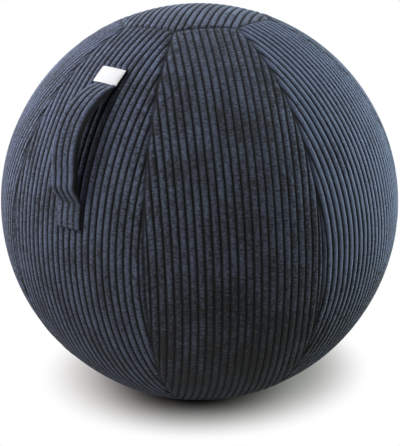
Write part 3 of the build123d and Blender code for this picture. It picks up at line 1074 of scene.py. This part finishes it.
    def shell(
        self, outer: np.ndarray, inner: np.ndarray, place: np.ndarray, near: np.ndarray, nap: np.ndarray
    ) -> Shape:
        """Joins the outer face to a coarser inner one round the rim.

        Args:
            outer: The outer grid of points.
            inner: The inner points behind them.
            place: The cloth coordinates.
            near: Distances from the nearest seam, in metres.
            nap: How far the tone is raised: partly the nap's lie, partly painted light and shade.

        Returns:
            The closed shape.
        """
        columns, rows = outer.shape[:2]
        kept_c = np.unique(np.append(np.arange(0, columns, self.inner_columns), columns - 1))
        kept_r = np.unique(np.append(np.arange(0, rows, self.inner_rows), rows - 1))
        pick = np.ix_(kept_c, kept_r)
        number = np.arange(columns * rows).reshape(columns, rows)
        inside = columns * rows + np.arange(len(kept_c) * len(kept_r)).reshape(len(kept_c), len(kept_r))
        faces = grid_faces(columns, rows) + grid_faces(len(kept_c), len(kept_r), columns * rows, True)
        for k, (first, last) in enumerate(zip(kept_c[:-1], kept_c[1:])):
            low, high = number[first : last + 1, 0], number[first : last + 1, -1]
            faces.append([*low[::-1], inside[k, 0], inside[k + 1, 0]])
            faces.append([*high, inside[k + 1, -1], inside[k, -1]])
        for k, (first, last) in enumerate(zip(kept_r[:-1], kept_r[1:])):
            left, right = number[0, first : last + 1], number[-1, first : last + 1]
            faces.append([*left, inside[0, k + 1], inside[0, k]])
            faces.append([*right[::-1], inside[-1, k], inside[-1, k + 1]])
        faces = [[int(corner) for corner in face] for face in faces]
        points = np.concatenate([outer.reshape(-1, 3), inner[pick].reshape(-1, 3)])
        coords = np.concatenate([place.reshape(-1, 2), place[pick].reshape(-1, 2)])
        near, nap = (np.concatenate([grid.ravel(), grid[pick].ravel()]) for grid in (near, nap))
        seam, crush = np.exp(-((near / self.seam_width) ** 2)), np.exp(-near / self.crush_reach)
        return Shape(points, faces, coords, {SEAM_MARK: seam, CRUSH_MARK: crush, NAP_AND_LIGHT_MARK: nap})

    def build(self, flat: tuple[float, float], area: float) -> bpy.types.Object:
        """Makes the cut and puts it in place of its node.

        Args:
            flat: Its finished width and length, laid flat. Not used.
            area: Its flat area. Not used.

        Returns:
            The piece.
        """
        piece = stand_in(self.shape().made(f"{self.name}_cloth", CORDUROY), self.name)
        return piece


@dataclass(frozen=True)
class Cover:
    """The corduroy cover: the side panels and the cap."""

    ball: BallShape
    ribs: Ribs
    # Each cut's tone, high and low: partly the nap's lie, partly painted light and shade for how the lamps
    # fall on it.
    nap_and_light_tone: tuple[tuple[float, float], ...] = (
        (0.10, 0.14),
        (-0.06, -0.50),
        (0.72, -0.24),
        (0.14, 0.0),
        (-0.05, 0.1),
        (0.12, -0.1),
        (0.0, 0.1),
        (0.16, 0.1),
    )
    cap_nap_and_light_tone: tuple[float, float] = (0.14, 0.14)
    first_seed: int = 101
    seed_step: int = 10
    cap_seed: int = 301

    def cap_edge(self, azimuth: float) -> np.ndarray:
        """The direction square to a cap seam, facing down.

        Args:
            azimuth: The azimuth of the seam's middle.

        Returns:
            The direction.
        """
        level = np.array([math.cos(azimuth), math.sin(azimuth), 0.0])
        polar = self.ball.cap_edge_polar
        return level * math.cos(polar) - UP * math.sin(polar)

    def side_panel(self, index: int) -> CorduroyCut:
        """One side panel.

        Args:
            index: Its number, from 0.

        Returns:
            The cut.
        """
        half = self.ball.panel_half
        azimuth = self.ball.first_azimuth + 2 * half * index
        before, after = azimuth - half, azimuth + half
        edges = (
            Edge(np.array([math.sin(after), -math.cos(after), 0.0])),
            Edge(np.array([-math.sin(before), math.cos(before), 0.0])),
            Edge(self.cap_edge(azimuth)),
            Edge(UP, math.cos(self.ball.zip_beta + self.ball.window_half), False),
        )
        out = np.array([math.cos(azimuth), math.sin(azimuth), 0.0])
        name, seed = f"side_panel_{index + 1}", self.first_seed + self.seed_step * index
        return CorduroyCut(name, self.ball, self.ribs, out, UP, edges, half, seed, self.nap_and_light_tone[index])

    def top_cap(self) -> CorduroyCut:
        """The cap, ribbed from corner to corner."""
        azimuth = self.ball.first_azimuth
        ways = azimuth + 2 * self.ball.panel_half * np.arange(self.ball.panels)
        edges = tuple(Edge(-self.cap_edge(float(way))) for way in ways)
        way = azimuth + self.ball.panel_half + math.pi
        along = np.array([math.cos(way), math.sin(way), 0.0])
        reach = self.ball.cap_corner_polar
        seed, nap_and_light_tone = self.cap_seed, self.cap_nap_and_light_tone
        return CorduroyCut("top_cap", self.ball, self.ribs, UP, along, edges, reach, seed, nap_and_light_tone)

    def build(self) -> list[bpy.types.Object]:
        """Makes every cut of the cover.

        Returns:
            The pieces.
        """
        ball = self.ball
        low, high = ball.zip_beta + ball.window_half, math.pi - ball.cap_edge_polar
        width, length = 2 * ball.panel_half * ball.radius, (high - low) * ball.radius
        area = 2 * ball.panel_half * ball.radius**2 * (math.cos(low) - math.cos(high))
        pieces = [self.side_panel(index).build((width, length), area) for index in range(ball.panels)]
        across = 2 * ball.cap_corner_polar * ball.radius
        cap_area = ball.panels / 2 * (across / 2) ** 2 * math.sin(2 * ball.panel_half)
        pieces.append(self.top_cap().build((across, across), cap_area))
        return pieces


# The base, the zip and the stand ring


@dataclass(frozen=True)
class Base:
    """The base cloth, the stand ring's sleeve and the hard pieces inside, in metres."""

    ball: BallShape
    thickness: float = 0.003
    ring_radius: float = 0.086
    ring_height: float = 0.0108
    sleeve_outside: float = 0.0072
    sleeve_inside: float = 0.0064
    gather_height: float = 0.0004
    gather_count: int = 192
    gather_round: tuple[float, float] = (1.5, 9.0)
    gather_seed: int = 71
    sleeve_steps: tuple[int, int] = (360, 24)
    flat_points: int = 20
    bend_points: int = 14
    side_points: int = 8
    rim_share: float = 0.3
    turn_steps: int = 180

    def outline(self, radius: float, floor: float, corner: float, beta: float) -> np.ndarray:
        """Half the outline of the flattened ball, from the axis to an angle up its side.

        Args:
            radius: The ball's radius.
            floor: The height of the flat.
            corner: The radius where the flat turns up.
            beta: The angle that it ends at, from the bottom.

        Returns:
            The points, as distance from the axis and height.
        """
        height = float(self.ball.centre[2])
        drop = height - floor - corner
        reach = math.sqrt((radius - corner) ** 2 - drop**2)
        turn = math.atan2(reach, drop)
        flat = np.stack([np.linspace(0.0, reach, self.flat_points), np.full(self.flat_points, floor)], -1)
        bend = np.linspace(0.0, turn, self.bend_points)[1:]
        rounded = np.stack([reach + corner * np.sin(bend), floor + corner - corner * np.cos(bend)], -1)
        side = np.linspace(turn, beta, self.side_points)[1:]
        rising = np.stack([radius * np.sin(side), height - radius * np.cos(side)], -1)
        return np.concatenate([flat, rounded, rising])

    def build(self) -> list[bpy.types.Object]:
        """Makes the base cloth and the sleeve, and finishes the ring, the inner ball and its plug.

        Returns:
            The pieces made.
        """
        ball, thick = self.ball, self.thickness
        beta = ball.zip_beta - ball.window_half
        outer = self.outline(ball.radius, 0.0, ball.base_corner, beta)
        inner = self.outline(ball.radius - thick, thick, ball.base_corner - thick, beta)
        upward = outer[-1] - outer[-2]
        rim = (outer[-1] + inner[-1]) / 2 + upward / np.linalg.norm(upward) * thick * self.rim_share
        profile = np.concatenate([outer, rim[None], inner[::-1], outer[:1]])
        cloth = turned(profile, self.turn_steps, True).made("base_cloth", BASE_CLOTH)
        stand_in(cloth, "base_panel")
        sleeve = self.sleeve()
        hard = {"stand_ring": RING_PLASTIC, "inner_ball": BLADDER_VINYL, "valve_plug": PLUG_PLASTIC}
        for node, finish in hard.items():
            finish.dress(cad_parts[node])
        return [cloth, sleeve]

    def sleeve(self) -> bpy.types.Object:
        """Makes the gathered sleeve round the stand ring.

        Returns:
            The piece.
        """
        turns, loops = self.sleeve_steps
        way = np.linspace(0.0, FULL_TURN, turns + 1)[:, None]
        round_way = np.linspace(0.0, FULL_TURN, loops + 1)[None]
        swing, shift = self.gather_round
        folds = (way % FULL_TURN) * self.gather_count / FULL_TURN
        gather = Unevenness(self.gather_seed).at(folds, np.sin(round_way) * swing + shift)
        outside = self.sleeve_outside + self.gather_height * gather
        shapes = []
        for radius, flip in ((outside, False), (np.full(gather.shape, self.sleeve_inside), True)):
            level = self.ring_radius + radius * np.cos(round_way)
            x, y = level * np.cos(way), level * np.sin(way)
            points = np.stack([x, y, self.ring_height + radius * np.sin(round_way)], -1)
            run = np.broadcast_to(way * self.ring_radius, x.shape)
            coords = np.stack([run, np.broadcast_to(round_way * self.sleeve_outside, x.shape)], -1)
            faces = grid_faces(turns + 1, loops + 1, 0, flip)
            shapes.append(Shape(points.reshape(-1, 3), faces, coords.reshape(-1, 2)))
        piece = shapes[0].joined(shapes[1]).made("ring_sleeve_cloth", SLEEVE_CLOTH)
        stand_in(piece, "ring_sleeve")
        return piece


@dataclass(frozen=True)
class Zip:
    """The zip round the base: woven tapes, coils and metal pieces, in metres and degrees."""

    ball: BallShape
    slit: float = 0.0014
    tape_width: float = 0.013
    tape_thickness: float = 0.0008
    tape_depth: float = 0.0036
    coil_radius: float = 0.0013
    filament: float = 0.00036
    coil_step: float = 0.0016
    plain_arc: float = 24.0
    plain_azimuth: float = 90.0
    cord_places: tuple[float, ...] = (0.30, 0.93)
    cord_width: float = 0.03
    cord_height: float = 0.0001
    tape_points: int = 15
    tape_steps: int = 240
    coil_points: int = 8
    filament_sides: int = 5

    def spot(self, t: np.ndarray, n: np.ndarray) -> np.ndarray:
        """Places in the zip's section.

        Args:
            t: How far up the surface from the chain's middle.
            n: How far out from the ball's surface.

        Returns:
            The places, as distance from the axis and height.
        """
        rise = self.ball.zip_beta
        height = float(self.ball.centre[2]) - self.ball.radius * math.cos(rise)
        distance = self.ball.zip_radius + t * math.cos(rise) + n * math.sin(rise)
        return np.stack([distance, height + t * math.sin(rise) - n * math.cos(rise)], -1)

    def tape(self, side: ZipSide) -> bpy.types.Object:
        """Makes one tape, with a thicker woven edge at the coil.

        Args:
            side: Which tape.

        Returns:
            The piece.
        """
        name = f"zip_tape_{side.name.lower()}"
        share = np.linspace(0.0, 1.0, self.tape_points)
        t = self.slit / 2 + share * self.tape_width
        cords = sum(np.exp(-(((share - place) / self.cord_width) ** 2)) for place in self.cord_places)
        top = self.cord_height * cords - self.tape_depth - self.cord_height
        bottom = np.full(t.shape, -self.tape_depth - self.tape_thickness)
        loop = np.concatenate([np.stack([t, bottom], -1), np.stack([t, top], -1)[::-1]])
        loop = loop * np.array([float(side), 1.0])
        loop = np.concatenate([loop, loop[:1]])[:: -int(side)]
        piece = turned(self.spot(loop[:, 0], loop[:, 1]), self.tape_steps).made(f"{name}_weave", ZIP_CLOTH)
        stand_in(piece, name)
        middle = self.ball.zip_radius + side * self.tape_width / 2 * math.cos(self.ball.zip_beta)
        FULL_TURN * middle
        return piece

    def coil(self, side: ZipSide) -> bpy.types.Object:
        """Makes one row of the coil.

        Args:
            side: Which row.

        Returns:
            The piece.
        """
        name = f"zip_teeth_{side.name.lower()}"
        start = math.radians(self.plain_azimuth + self.plain_arc / 2)
        end = math.radians(self.plain_azimuth + 360.0 - self.plain_arc / 2)
        count = int((end - start) * self.ball.zip_radius / self.coil_step)
        share = np.linspace(0.0, 1.0, count * self.coil_points + 1)
        turn = share * count * FULL_TURN + (math.pi if side is ZipSide.LOWER else 0.0)
        reach = self.coil_radius - self.filament
        t, n = side * (self.slit / 2 + self.coil_radius), self.coil_radius - self.tape_depth
        level = self.spot(t + side * reach * np.cos(turn), n + reach * np.sin(turn))
        core = self.spot(np.full(turn.shape, t), np.full(turn.shape, n))
        way = start + share * (end - start)
        ring = np.stack([np.cos(way), np.sin(way)], -1)
        path, axis = (np.concatenate([ring * spot[:, :1], spot[:, 1:]], axis=1) for spot in (level, core))
        thread = pipe(path, path - axis, self.filament, self.filament_sides)
        return stand_in(thread.made(f"{name}_coil", COIL_PLASTIC), name)

    def build(self) -> list[bpy.types.Object]:
        """Makes the tapes and coils, and finishes the stops, the slider and its pull.

        Returns:
            The pieces made.
        """
        for node in ("zip_stops", "zip_slider", "zip_pull"):
            ZIP_METAL.dress(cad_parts[node])
        return [make(side) for make in (self.tape, self.coil) for side in ZipSide]


# The handle and the label


@dataclass(frozen=True)
class Handle:
    """The carry handle: a ribbed strap round a webbing core, sewn flat at both ends, in metres."""

    ball: BallShape
    ribs: Ribs
    width: float = 0.042
    wales: int = 4
    thickness: float = 0.0130
    pad_thickness: float = 0.0042
    end_thickness: float = 0.0028
    end_taper: float = 0.015
    rib_depth: float = 0.0017
    pad_rib_depth: float = 0.0007
    arch_radius: float = 0.0959
    arch_centre: float = -0.0629
    bulges: tuple[tuple[float, float, float], ...] = ((-0.0690, 0.0120, 0.0062),)
    foot_softness: float = 0.0009
    upper_end: float = 0.118
    lower_end: float = -0.122
    lift: float = 0.0003
    core_width: float = 0.034
    core_thickness: float = 0.0016
    core_clearance: float = 0.0003
    blend_low: float = -0.008
    blend_high: float = 0.0085
    stitch_rows: tuple[float, ...] = (-0.119, -0.113)
    stitch_step: float = 0.0046
    stitch_count: int = 7
    stitch_length: float = 0.0036
    stitch_points: int = 9
    row_step: float = 0.0005
    stitch_lift: float = 0.0001
    stitch_dip: float = 0.0007
    stitch_follow: float = 0.8
    thread_radius: float = 0.00042
    samples: int = 170
    slot_inset: int = 12
    core_inset: int = 14
    sewn_height: tuple[float, float] = (0.007, 0.020)
    under_rib: float = 0.5
    edge_round: float = 0.26
    edge_power: int = 14
    tuck: float = 0.45
    tuck_reach: float = 0.0016
    seam_shade: float = 0.6
    seam_width: float = 0.002
    wale_offset: float = 9000.0
    # Painted light: the strap's nap is toned lighter than the cover's.
    nap_and_light_tone: float = 0.25
    seed: int = 511
    swell: Ripple = Ripple(0, 0.15, 0.9, 0.03, (3.0, 60.0))

    def height(self, along: np.ndarray) -> np.ndarray:
        """How high the strap's outside stands above the ball.

        Args:
            along: Places up along the ball from the handle's middle.

        Returns:
            The heights.
        """
        turn = along / self.ball.radius
        far = self.ball.radius + self.arch_centre
        outside = self.arch_radius + self.thickness / 2
        chord = np.sqrt(np.clip(outside**2 - (far * np.sin(turn)) ** 2, 0.0, None))
        arch = far * np.cos(turn) + chord - self.ball.radius
        for place, reach, rise in self.bulges:
            arch = arch + rise * np.exp(-(((along - place) / reach) ** 2))
        flat = self.lift + self.pad(along)
        return flat + self.foot_softness * np.logaddexp(0.0, (arch - flat) / self.foot_softness)

    def pad(self, along: np.ndarray) -> np.ndarray:
        """The thickness of the strap's sewn ends, pressed thinner at the lower one."""
        pressed = self.pad_thickness - self.end_thickness
        return self.end_thickness + pressed * ease(0.0, self.end_taper, along - self.lower_end)

    def path(self, start: float, end: float, samples: int) -> tuple[np.ndarray, ...]:
        """The middle of the strap's outside face.

        Args:
            start: Where it starts, up along the ball from the handle's middle.
            end: Where it ends.
            samples: How many points.

        Returns:
            The points, the outward directions, the directions across, and the places along the ball.
        """
        along = np.linspace(start, end, samples)
        rise = math.radians(self.ball.handle_elevation) + along / self.ball.radius
        out = np.stack([np.zeros_like(rise), -np.cos(rise), np.sin(rise)], -1)
        points = self.ball.centre + out * (self.ball.radius + self.height(along))[:, None]
        tangent = np.gradient(points, axis=0)
        tangent /= np.linalg.norm(tangent, axis=1, keepdims=True)
        level = np.broadcast_to(SIDEWAYS, points.shape)
        return points, np.cross(level, tangent), level, along

    def thick(self, along: np.ndarray) -> np.ndarray:
        """The strap's thickness: flatter where it is sewn down."""
        pad = self.pad(along)
        return pad + (self.thickness - pad) * self.loose(along)

    def loose(self, along: np.ndarray) -> np.ndarray:
        """How far the strap is from being sewn down, from 0 to 1."""
        return ease(*self.sewn_height, self.height(along))

    def strap(self) -> bpy.types.Object:
        """Makes the strap: a ribbed sleeve with a slot for its core.

        Returns:
            The piece.
        """
        points, normal, across, along = self.path(self.lower_end, self.upper_end, self.samples)
        wales = np.arange(self.wales)[:, None] + np.array(self.ribs.samples)
        places = np.append(wales.ravel(), self.wales)
        level = places / self.wales - 0.5
        crown = self.ribs.height(np.clip(places, 0.0, self.wales - 1e-9))
        uneven = self.swell.at(self.seed, np.floor(places)[None], along[:, None])
        depth = self.pad_rib_depth + (self.rib_depth - self.pad_rib_depth) * self.loose(along)[:, None]
        rib = depth * (1.0 + uneven) * (1.0 - crown)[None]
        thick = self.thick(along)[:, None]
        near = np.minimum(along - self.lower_end, self.upper_end - along)
        full = 1.0 - self.tuck * np.exp(-near / self.tuck_reach)[:, None]
        side = np.broadcast_to(self.width * level, rib.shape)
        edge = self.edge_round * thick * np.abs(2.0 * level[None]) ** self.edge_power
        top = np.stack([side, -rib - edge], -1)
        bottom = np.stack([side, -thick + self.under_rib * rib + edge], -1)
        loop = np.concatenate([bottom, top[:, ::-1], bottom[:, :1]], axis=1)
        loop[..., 1] = (loop[..., 1] + thick / 2) * full - thick / 2
        outer = swept(points, across, normal, loop)
        wale = np.concatenate([places, places[::-1], places[:1]])
        outer.coords[:, 0] = np.tile(wale, len(points)) + self.wale_offset
        hollow = self.carried(self.slot_inset, self.core_clearance)
        hollow.faces = [face[::-1] for face in hollow.faces]
        whole = outer.joined(hollow)
        seam = np.repeat(self.seam_shade * np.exp(-((near / self.seam_width) ** 2)), loop.shape[1])
        whole.marks[SEAM_MARK] = np.concatenate([seam, np.zeros(len(hollow.points))])
        # Painted light on the strap, carried by the nap mark.
        whole.marks[NAP_AND_LIGHT_MARK] = np.full(len(whole.points), self.nap_and_light_tone)
        piece = whole.made("handle_strap_cloth", CORDUROY)
        return self.bend(piece, "handle_strap", "handle_end_upper", "handle_end_lower")

    def carried(self, inset: int, spare: float) -> Shape:
        """The core's section, or that of the slot round it, carried along the strap's middle.

        Args:
            inset: How many of the strap's steps it stops short at both ends.
            spare: How much wider it is on every side.

        Returns:
            The shape.
        """
        points, normal, across, along = self.path(self.lower_end, self.upper_end, self.samples)
        inner = slice(inset, self.samples - inset)
        middle = (points - normal * self.thick(along)[:, None] / 2)[inner]
        half, tall = self.core_width / 2 + spare, self.core_thickness / 2 + spare
        loop = np.array([(-half, -tall), (half, -tall), (half, tall), (-half, tall), (-half, -tall)])
        return swept(middle, across[inner], normal[inner], np.broadcast_to(loop, (len(middle), *loop.shape)))

    def core(self) -> bpy.types.Object:
        """Makes the webbing inside the strap."""
        core = self.carried(self.core_inset, 0.0).made("handle_core_webbing", WEBBING)
        return self.bend(core, "handle_core")

    def bend(self, piece: bpy.types.Object, *nodes: str) -> bpy.types.Object:
        """Bakes a piece's placement into its mesh and puts it in place of nodes.

        Args:
            piece: The piece.
            nodes: The nodes that it stands for.

        Returns:
            The same piece.
        """
        rise = math.radians(self.ball.handle_elevation)
        out = np.array([0.0, -math.cos(rise), math.sin(rise)])
        heights = (self.blend_low, self.blend_high)
        low, high = (self.ball.centre + out * (self.ball.radius + height) for height in heights)
        tuple(low)
        tuple(high)
        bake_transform(piece)
        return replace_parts(piece, *nodes)

    def stitches(self) -> bpy.types.Object:
        """Makes the two rows of stitches that hold the lower end.

        Returns:
            The piece.
        """
        runs = []
        share = np.linspace(-1.0, 1.0, self.stitch_points)
        for row in self.stitch_rows:
            points, normal, _, _ = self.path(row - self.row_step, row + self.row_step, 3)
            for index in range(self.stitch_count):
                x = (index - (self.stitch_count - 1) / 2) * self.stitch_step + share * self.stitch_length / 2
                dip = 1.0 - self.ribs.height(x / self.width * self.wales + self.wales / 2)
                sink = self.pad_rib_depth * dip * self.stitch_follow - self.stitch_lift
                sink = sink + self.stitch_dip * share**4
                path = points[1] + np.outer(x, SIDEWAYS) - np.outer(sink, normal[1])
                runs.append((path, np.broadcast_to(normal[1], path.shape)))
        piece = stitched(runs, self.thread_radius).made("handle_stitch_thread", DARK_THREAD)
        return stand_in(piece, "handle_stitches")

    def build(self) -> list[bpy.types.Object]:
        """Makes the strap, its core and its stitches."""
        return [self.strap(), self.core(), self.stitches()]


@dataclass(frozen=True)
class Label:
    """The bare woven label over the strap's upper end, sewn at two sides, in metres and degrees."""

    ball: BallShape
    width: float = 0.043
    length: float = 0.0275
    turn: float = 6.0
    thickness: float = 0.0008
    elevation: float = 50.0
    lift: float = 0.0052
    stitch_inset: float = 0.0016
    stitch_step: float = 0.0046
    stitch_count: int = 5
    stitch_length: float = 0.0034
    stitch_points: int = 7
    stitch_lift: float = 0.0002
    stitch_dip: float = 0.0005
    thread_radius: float = 0.0003
    sewn_drop: float = 0.0006
    sewn_band: tuple[float, float] = (0.78, 0.95)
    flare: float = 0.4
    flare_band: tuple[float, float] = (0.97, 1.0)
    swell_band: tuple[float, float] = (0.7, 0.95)
    fold_reach: float = 0.0012
    fold_share: float = 0.8
    steps: tuple[int, int] = (45, 31)
    seed: int = 801
    swell: Ripple = Ripple(0, 0.0005, 1 / 0.014, 0.012, (20.0, 20.0))

    def spot(self, x: np.ndarray, y: np.ndarray, height: np.ndarray) -> np.ndarray:
        """Places near the label.

        Args:
            x: Places across it.
            y: Places up along it.
            height: Heights above the ball.

        Returns:
            The points.
        """
        cos, sin = math.cos(math.radians(self.turn)), math.sin(math.radians(self.turn))
        x, y = x * cos + y * sin, y * cos - x * sin
        rise = math.radians(self.elevation) + y / self.ball.radius
        turn = x / self.ball.radius
        flat = np.stack([np.zeros_like(rise), -np.cos(rise), np.sin(rise)], -1)
        out = np.sin(turn)[..., None] * SIDEWAYS + np.cos(turn)[..., None] * flat
        return self.ball.centre + out * (self.ball.radius + height)[..., None]

    def height(self, x: np.ndarray, y: np.ndarray) -> np.ndarray:
        """The label's underside above the ball: a slight swell, pulled down where it is sewn.

        Args:
            x: Places across it.
            y: Places up along it.

        Returns:
            The heights.
        """
        side = np.abs(x) / (self.width / 2)
        swell = self.swell.at(self.seed, x, y) * (1.0 - ease(*self.swell_band, side))
        flare = 1.0 - self.flare * ease(*self.flare_band, side)
        return self.lift + swell - self.sewn_drop * ease(*self.sewn_band, side) * flare

    def patch(self) -> bpy.types.Object:
        """Makes the label, with its top and bottom edges turned under.

        Returns:
            The piece.
        """
        columns, rows = self.steps
        levels = (np.linspace(-0.5, 0.5, columns) * self.width, np.linspace(-0.5, 0.5, rows) * self.length)
        x, y = np.meshgrid(*levels, indexing="ij")
        under = self.height(x, y)
        fold = np.clip(1.0 - (self.length / 2 - np.abs(y)) / self.fold_reach, 0.0, 1.0)
        top = under + self.thickness * np.sqrt(1.0 - self.fold_share * fold**2)
        points = np.concatenate([self.spot(x, y, level).reshape(-1, 3) for level in (top, under)])
        count = columns * rows
        number = np.arange(count).reshape(columns, rows)
        faces = grid_faces(columns, rows) + grid_faces(columns, rows, count, True)
        rim = np.concatenate([number[:, 0], number[-1, 1:], number[-2::-1, -1], number[0, -2::-1]])
        faces += [[int(b), int(a), int(a + count), int(b + count)] for a, b in zip(rim[:-1], rim[1:])]
        coords = np.tile(np.stack([x, y], -1).reshape(-1, 2), (2, 1))
        piece = Shape(points, faces, coords).made("label_weave", LABEL_WEAVE)
        stand_in(piece, "label")
        return piece

    def stitches(self) -> bpy.types.Object:
        """Makes the stitches down the label's two short sides.

        Returns:
            The piece.
        """
        runs = []
        share = np.linspace(-1.0, 1.0, self.stitch_points)
        for side in (-1, 1):
            x = np.full(share.shape, side * (self.width / 2 - self.stitch_inset))
            for index in range(self.stitch_count):
                y = (index - (self.stitch_count - 1) / 2) * self.stitch_step + share * self.stitch_length / 2
                height = self.height(x, y) + self.thickness + self.stitch_lift - self.stitch_dip * share**4
                path = self.spot(x, y, height)
                out = path - self.ball.centre
                runs.append((path, out / np.linalg.norm(out, axis=1, keepdims=True)))
        piece = stitched(runs, self.thread_radius).made("label_stitch_thread", PALE_THREAD)
        return stand_in(piece, "label_stitches")

    def build(self) -> list[bpy.types.Object]:
        """Makes the label and its stitches."""
        return [self.patch(), self.stitches()]


# The studio


def direction(azimuth: float, elevation: float) -> Vector:
    """The direction of an azimuth and an elevation, in degrees."""
    turn, rise = math.radians(azimuth), math.radians(elevation)
    return Vector((math.cos(rise) * math.cos(turn), math.cos(rise) * math.sin(turn), math.sin(rise)))


@dataclass(frozen=True)
class SoftBox:
    """A square soft light aimed at the ball, placed by its angles from the camera's, in degrees."""

    name: str
    azimuth: float
    elevation: float
    size: float
    power: float
    tint: Colour
    distance: float = 2.0

    def build(self, centre: Vector) -> None:
        """Adds the light.

        Args:
            centre: What it is aimed at.
        """
        way = direction(CAMERA_AZIMUTH + self.azimuth, self.elevation)
        lamp = bpy.data.lights.new(self.name, "AREA")
        lamp.energy, lamp.size, lamp.color = self.power, self.size, self.tint
        holder = bpy.data.objects.new(self.name, lamp)
        aimed = way.to_track_quat("Z", "Y").to_matrix().to_4x4()
        holder.matrix_world = Matrix.Translation(centre + way * self.distance) @ aimed
        bpy.context.scene.collection.objects.link(holder)


COOL: Colour = (0.93, 0.94, 1.0)
SEA: Colour = (0.89, 1.0, 0.98)
SOFT_BOXES = (
    SoftBox("left_back_light", -130.0, 25.0, 1.3, 66.0, COOL),
    SoftBox("left_high_light", -85.0, 50.0, 1.3, 17.0, COOL),
    SoftBox("left_front_light", -50.0, 41.0, 1.3, 19.5, WHITE),
    SoftBox("right_light", 106.0, 17.0, 1.3, 77.0, SEA),
)


@dataclass(frozen=True)
class Studio:
    """The pale floor, the soft light and the camera, in metres, degrees and the picture's pixels."""

    ball: BallShape
    floor_size: float = 40.0
    sky: float = 0.01
    camera_elevation: float = 19.39
    camera_distance: float = 1.4755
    camera_roll: float = 1.77
    focal_pixels: float = 879.0
    picture_height: float = 446.0
    sensor: float = 36.0
    centre_left: float = 0.5
    centre_above: float = 20.5

    def floor(self) -> bpy.types.Object:
        """Makes the floor.

        Returns:
            The floor.
        """
        half = self.floor_size / 2
        corners = np.array([(-half, -half, 0.0), (half, -half, 0.0), (half, half, 0.0), (-half, half, 0.0)])
        floor = Shape(corners, [[0, 1, 2, 3]], corners[:, :2]).made("studio_floor", PAPER)
        return floor

    def light(self) -> None:
        """Adds the even sky and the soft lights."""
        world = bpy.data.worlds.new("studio")
        bpy.context.scene.world = world
        world.use_nodes = True
        graph = Graph(world.node_tree)
        rays = ("Is Camera Ray", "Is Glossy Ray", "Is Transmission Ray")
        camera, glossy, through = (graph.node("ShaderNodeLightPath", None, None, ray) for ray in rays)
        seen = (camera + glossy + through).ease(0.0, 1.0)
        levels = (self.sky, 1.0)
        skies = (graph.node("ShaderNodeBackground", None, {"Color": WHITE, "Strength": s}) for s in levels)
        graph.node("ShaderNodeOutputWorld", None, {"Surface": graph.mixed(seen, *skies)})
        for box in SOFT_BOXES:
            box.build(Vector(self.ball.centre))

    def camera(self) -> None:
        """Adds the camera, aimed so that the ball sits where the picture has it."""
        way = direction(CAMERA_AZIMUTH, self.camera_elevation)
        data = bpy.data.cameras.new("camera")
        data.sensor_width = self.sensor
        data.lens = self.sensor * self.focal_pixels / self.picture_height
        camera = bpy.data.objects.new("camera", data)
        bpy.context.scene.collection.objects.link(camera)
        look = way.to_track_quat("Z", "Y").to_matrix().to_4x4()
        roll = Matrix.Rotation(-math.radians(self.camera_roll), 4, "Z")
        tilt = Matrix.Rotation(-math.atan(self.centre_above / self.focal_pixels), 4, "X")
        pan = Matrix.Rotation(-math.atan(self.centre_left / self.focal_pixels), 4, "Y")
        place = Matrix.Translation(Vector(self.ball.centre) + way * self.camera_distance)
        camera.matrix_world = place @ look @ roll @ tilt @ pan
        bpy.context.scene.camera = camera

    def build(self) -> None:
        """Sets up the floor, the light, the camera and plain colours."""
        self.floor()
        self.light()
        self.camera()
        bpy.context.scene.view_settings.view_transform = "Standard"


def main() -> None:
    """Builds every sub-assembly in order."""
    logging.basicConfig(level=logging.INFO, format="%(message)s")
    ball, ribs = BallShape(), Ribs()
    for part in (Cover(ball, ribs), Base(ball), Zip(ball), Handle(ball, ribs), Label(ball)):
        pieces = part.build()
        LOG.info("%s: %s", type(part).__name__, ", ".join(piece.name for piece in pieces))
    Studio(ball).build()


if __name__ == "__main__":
    main()
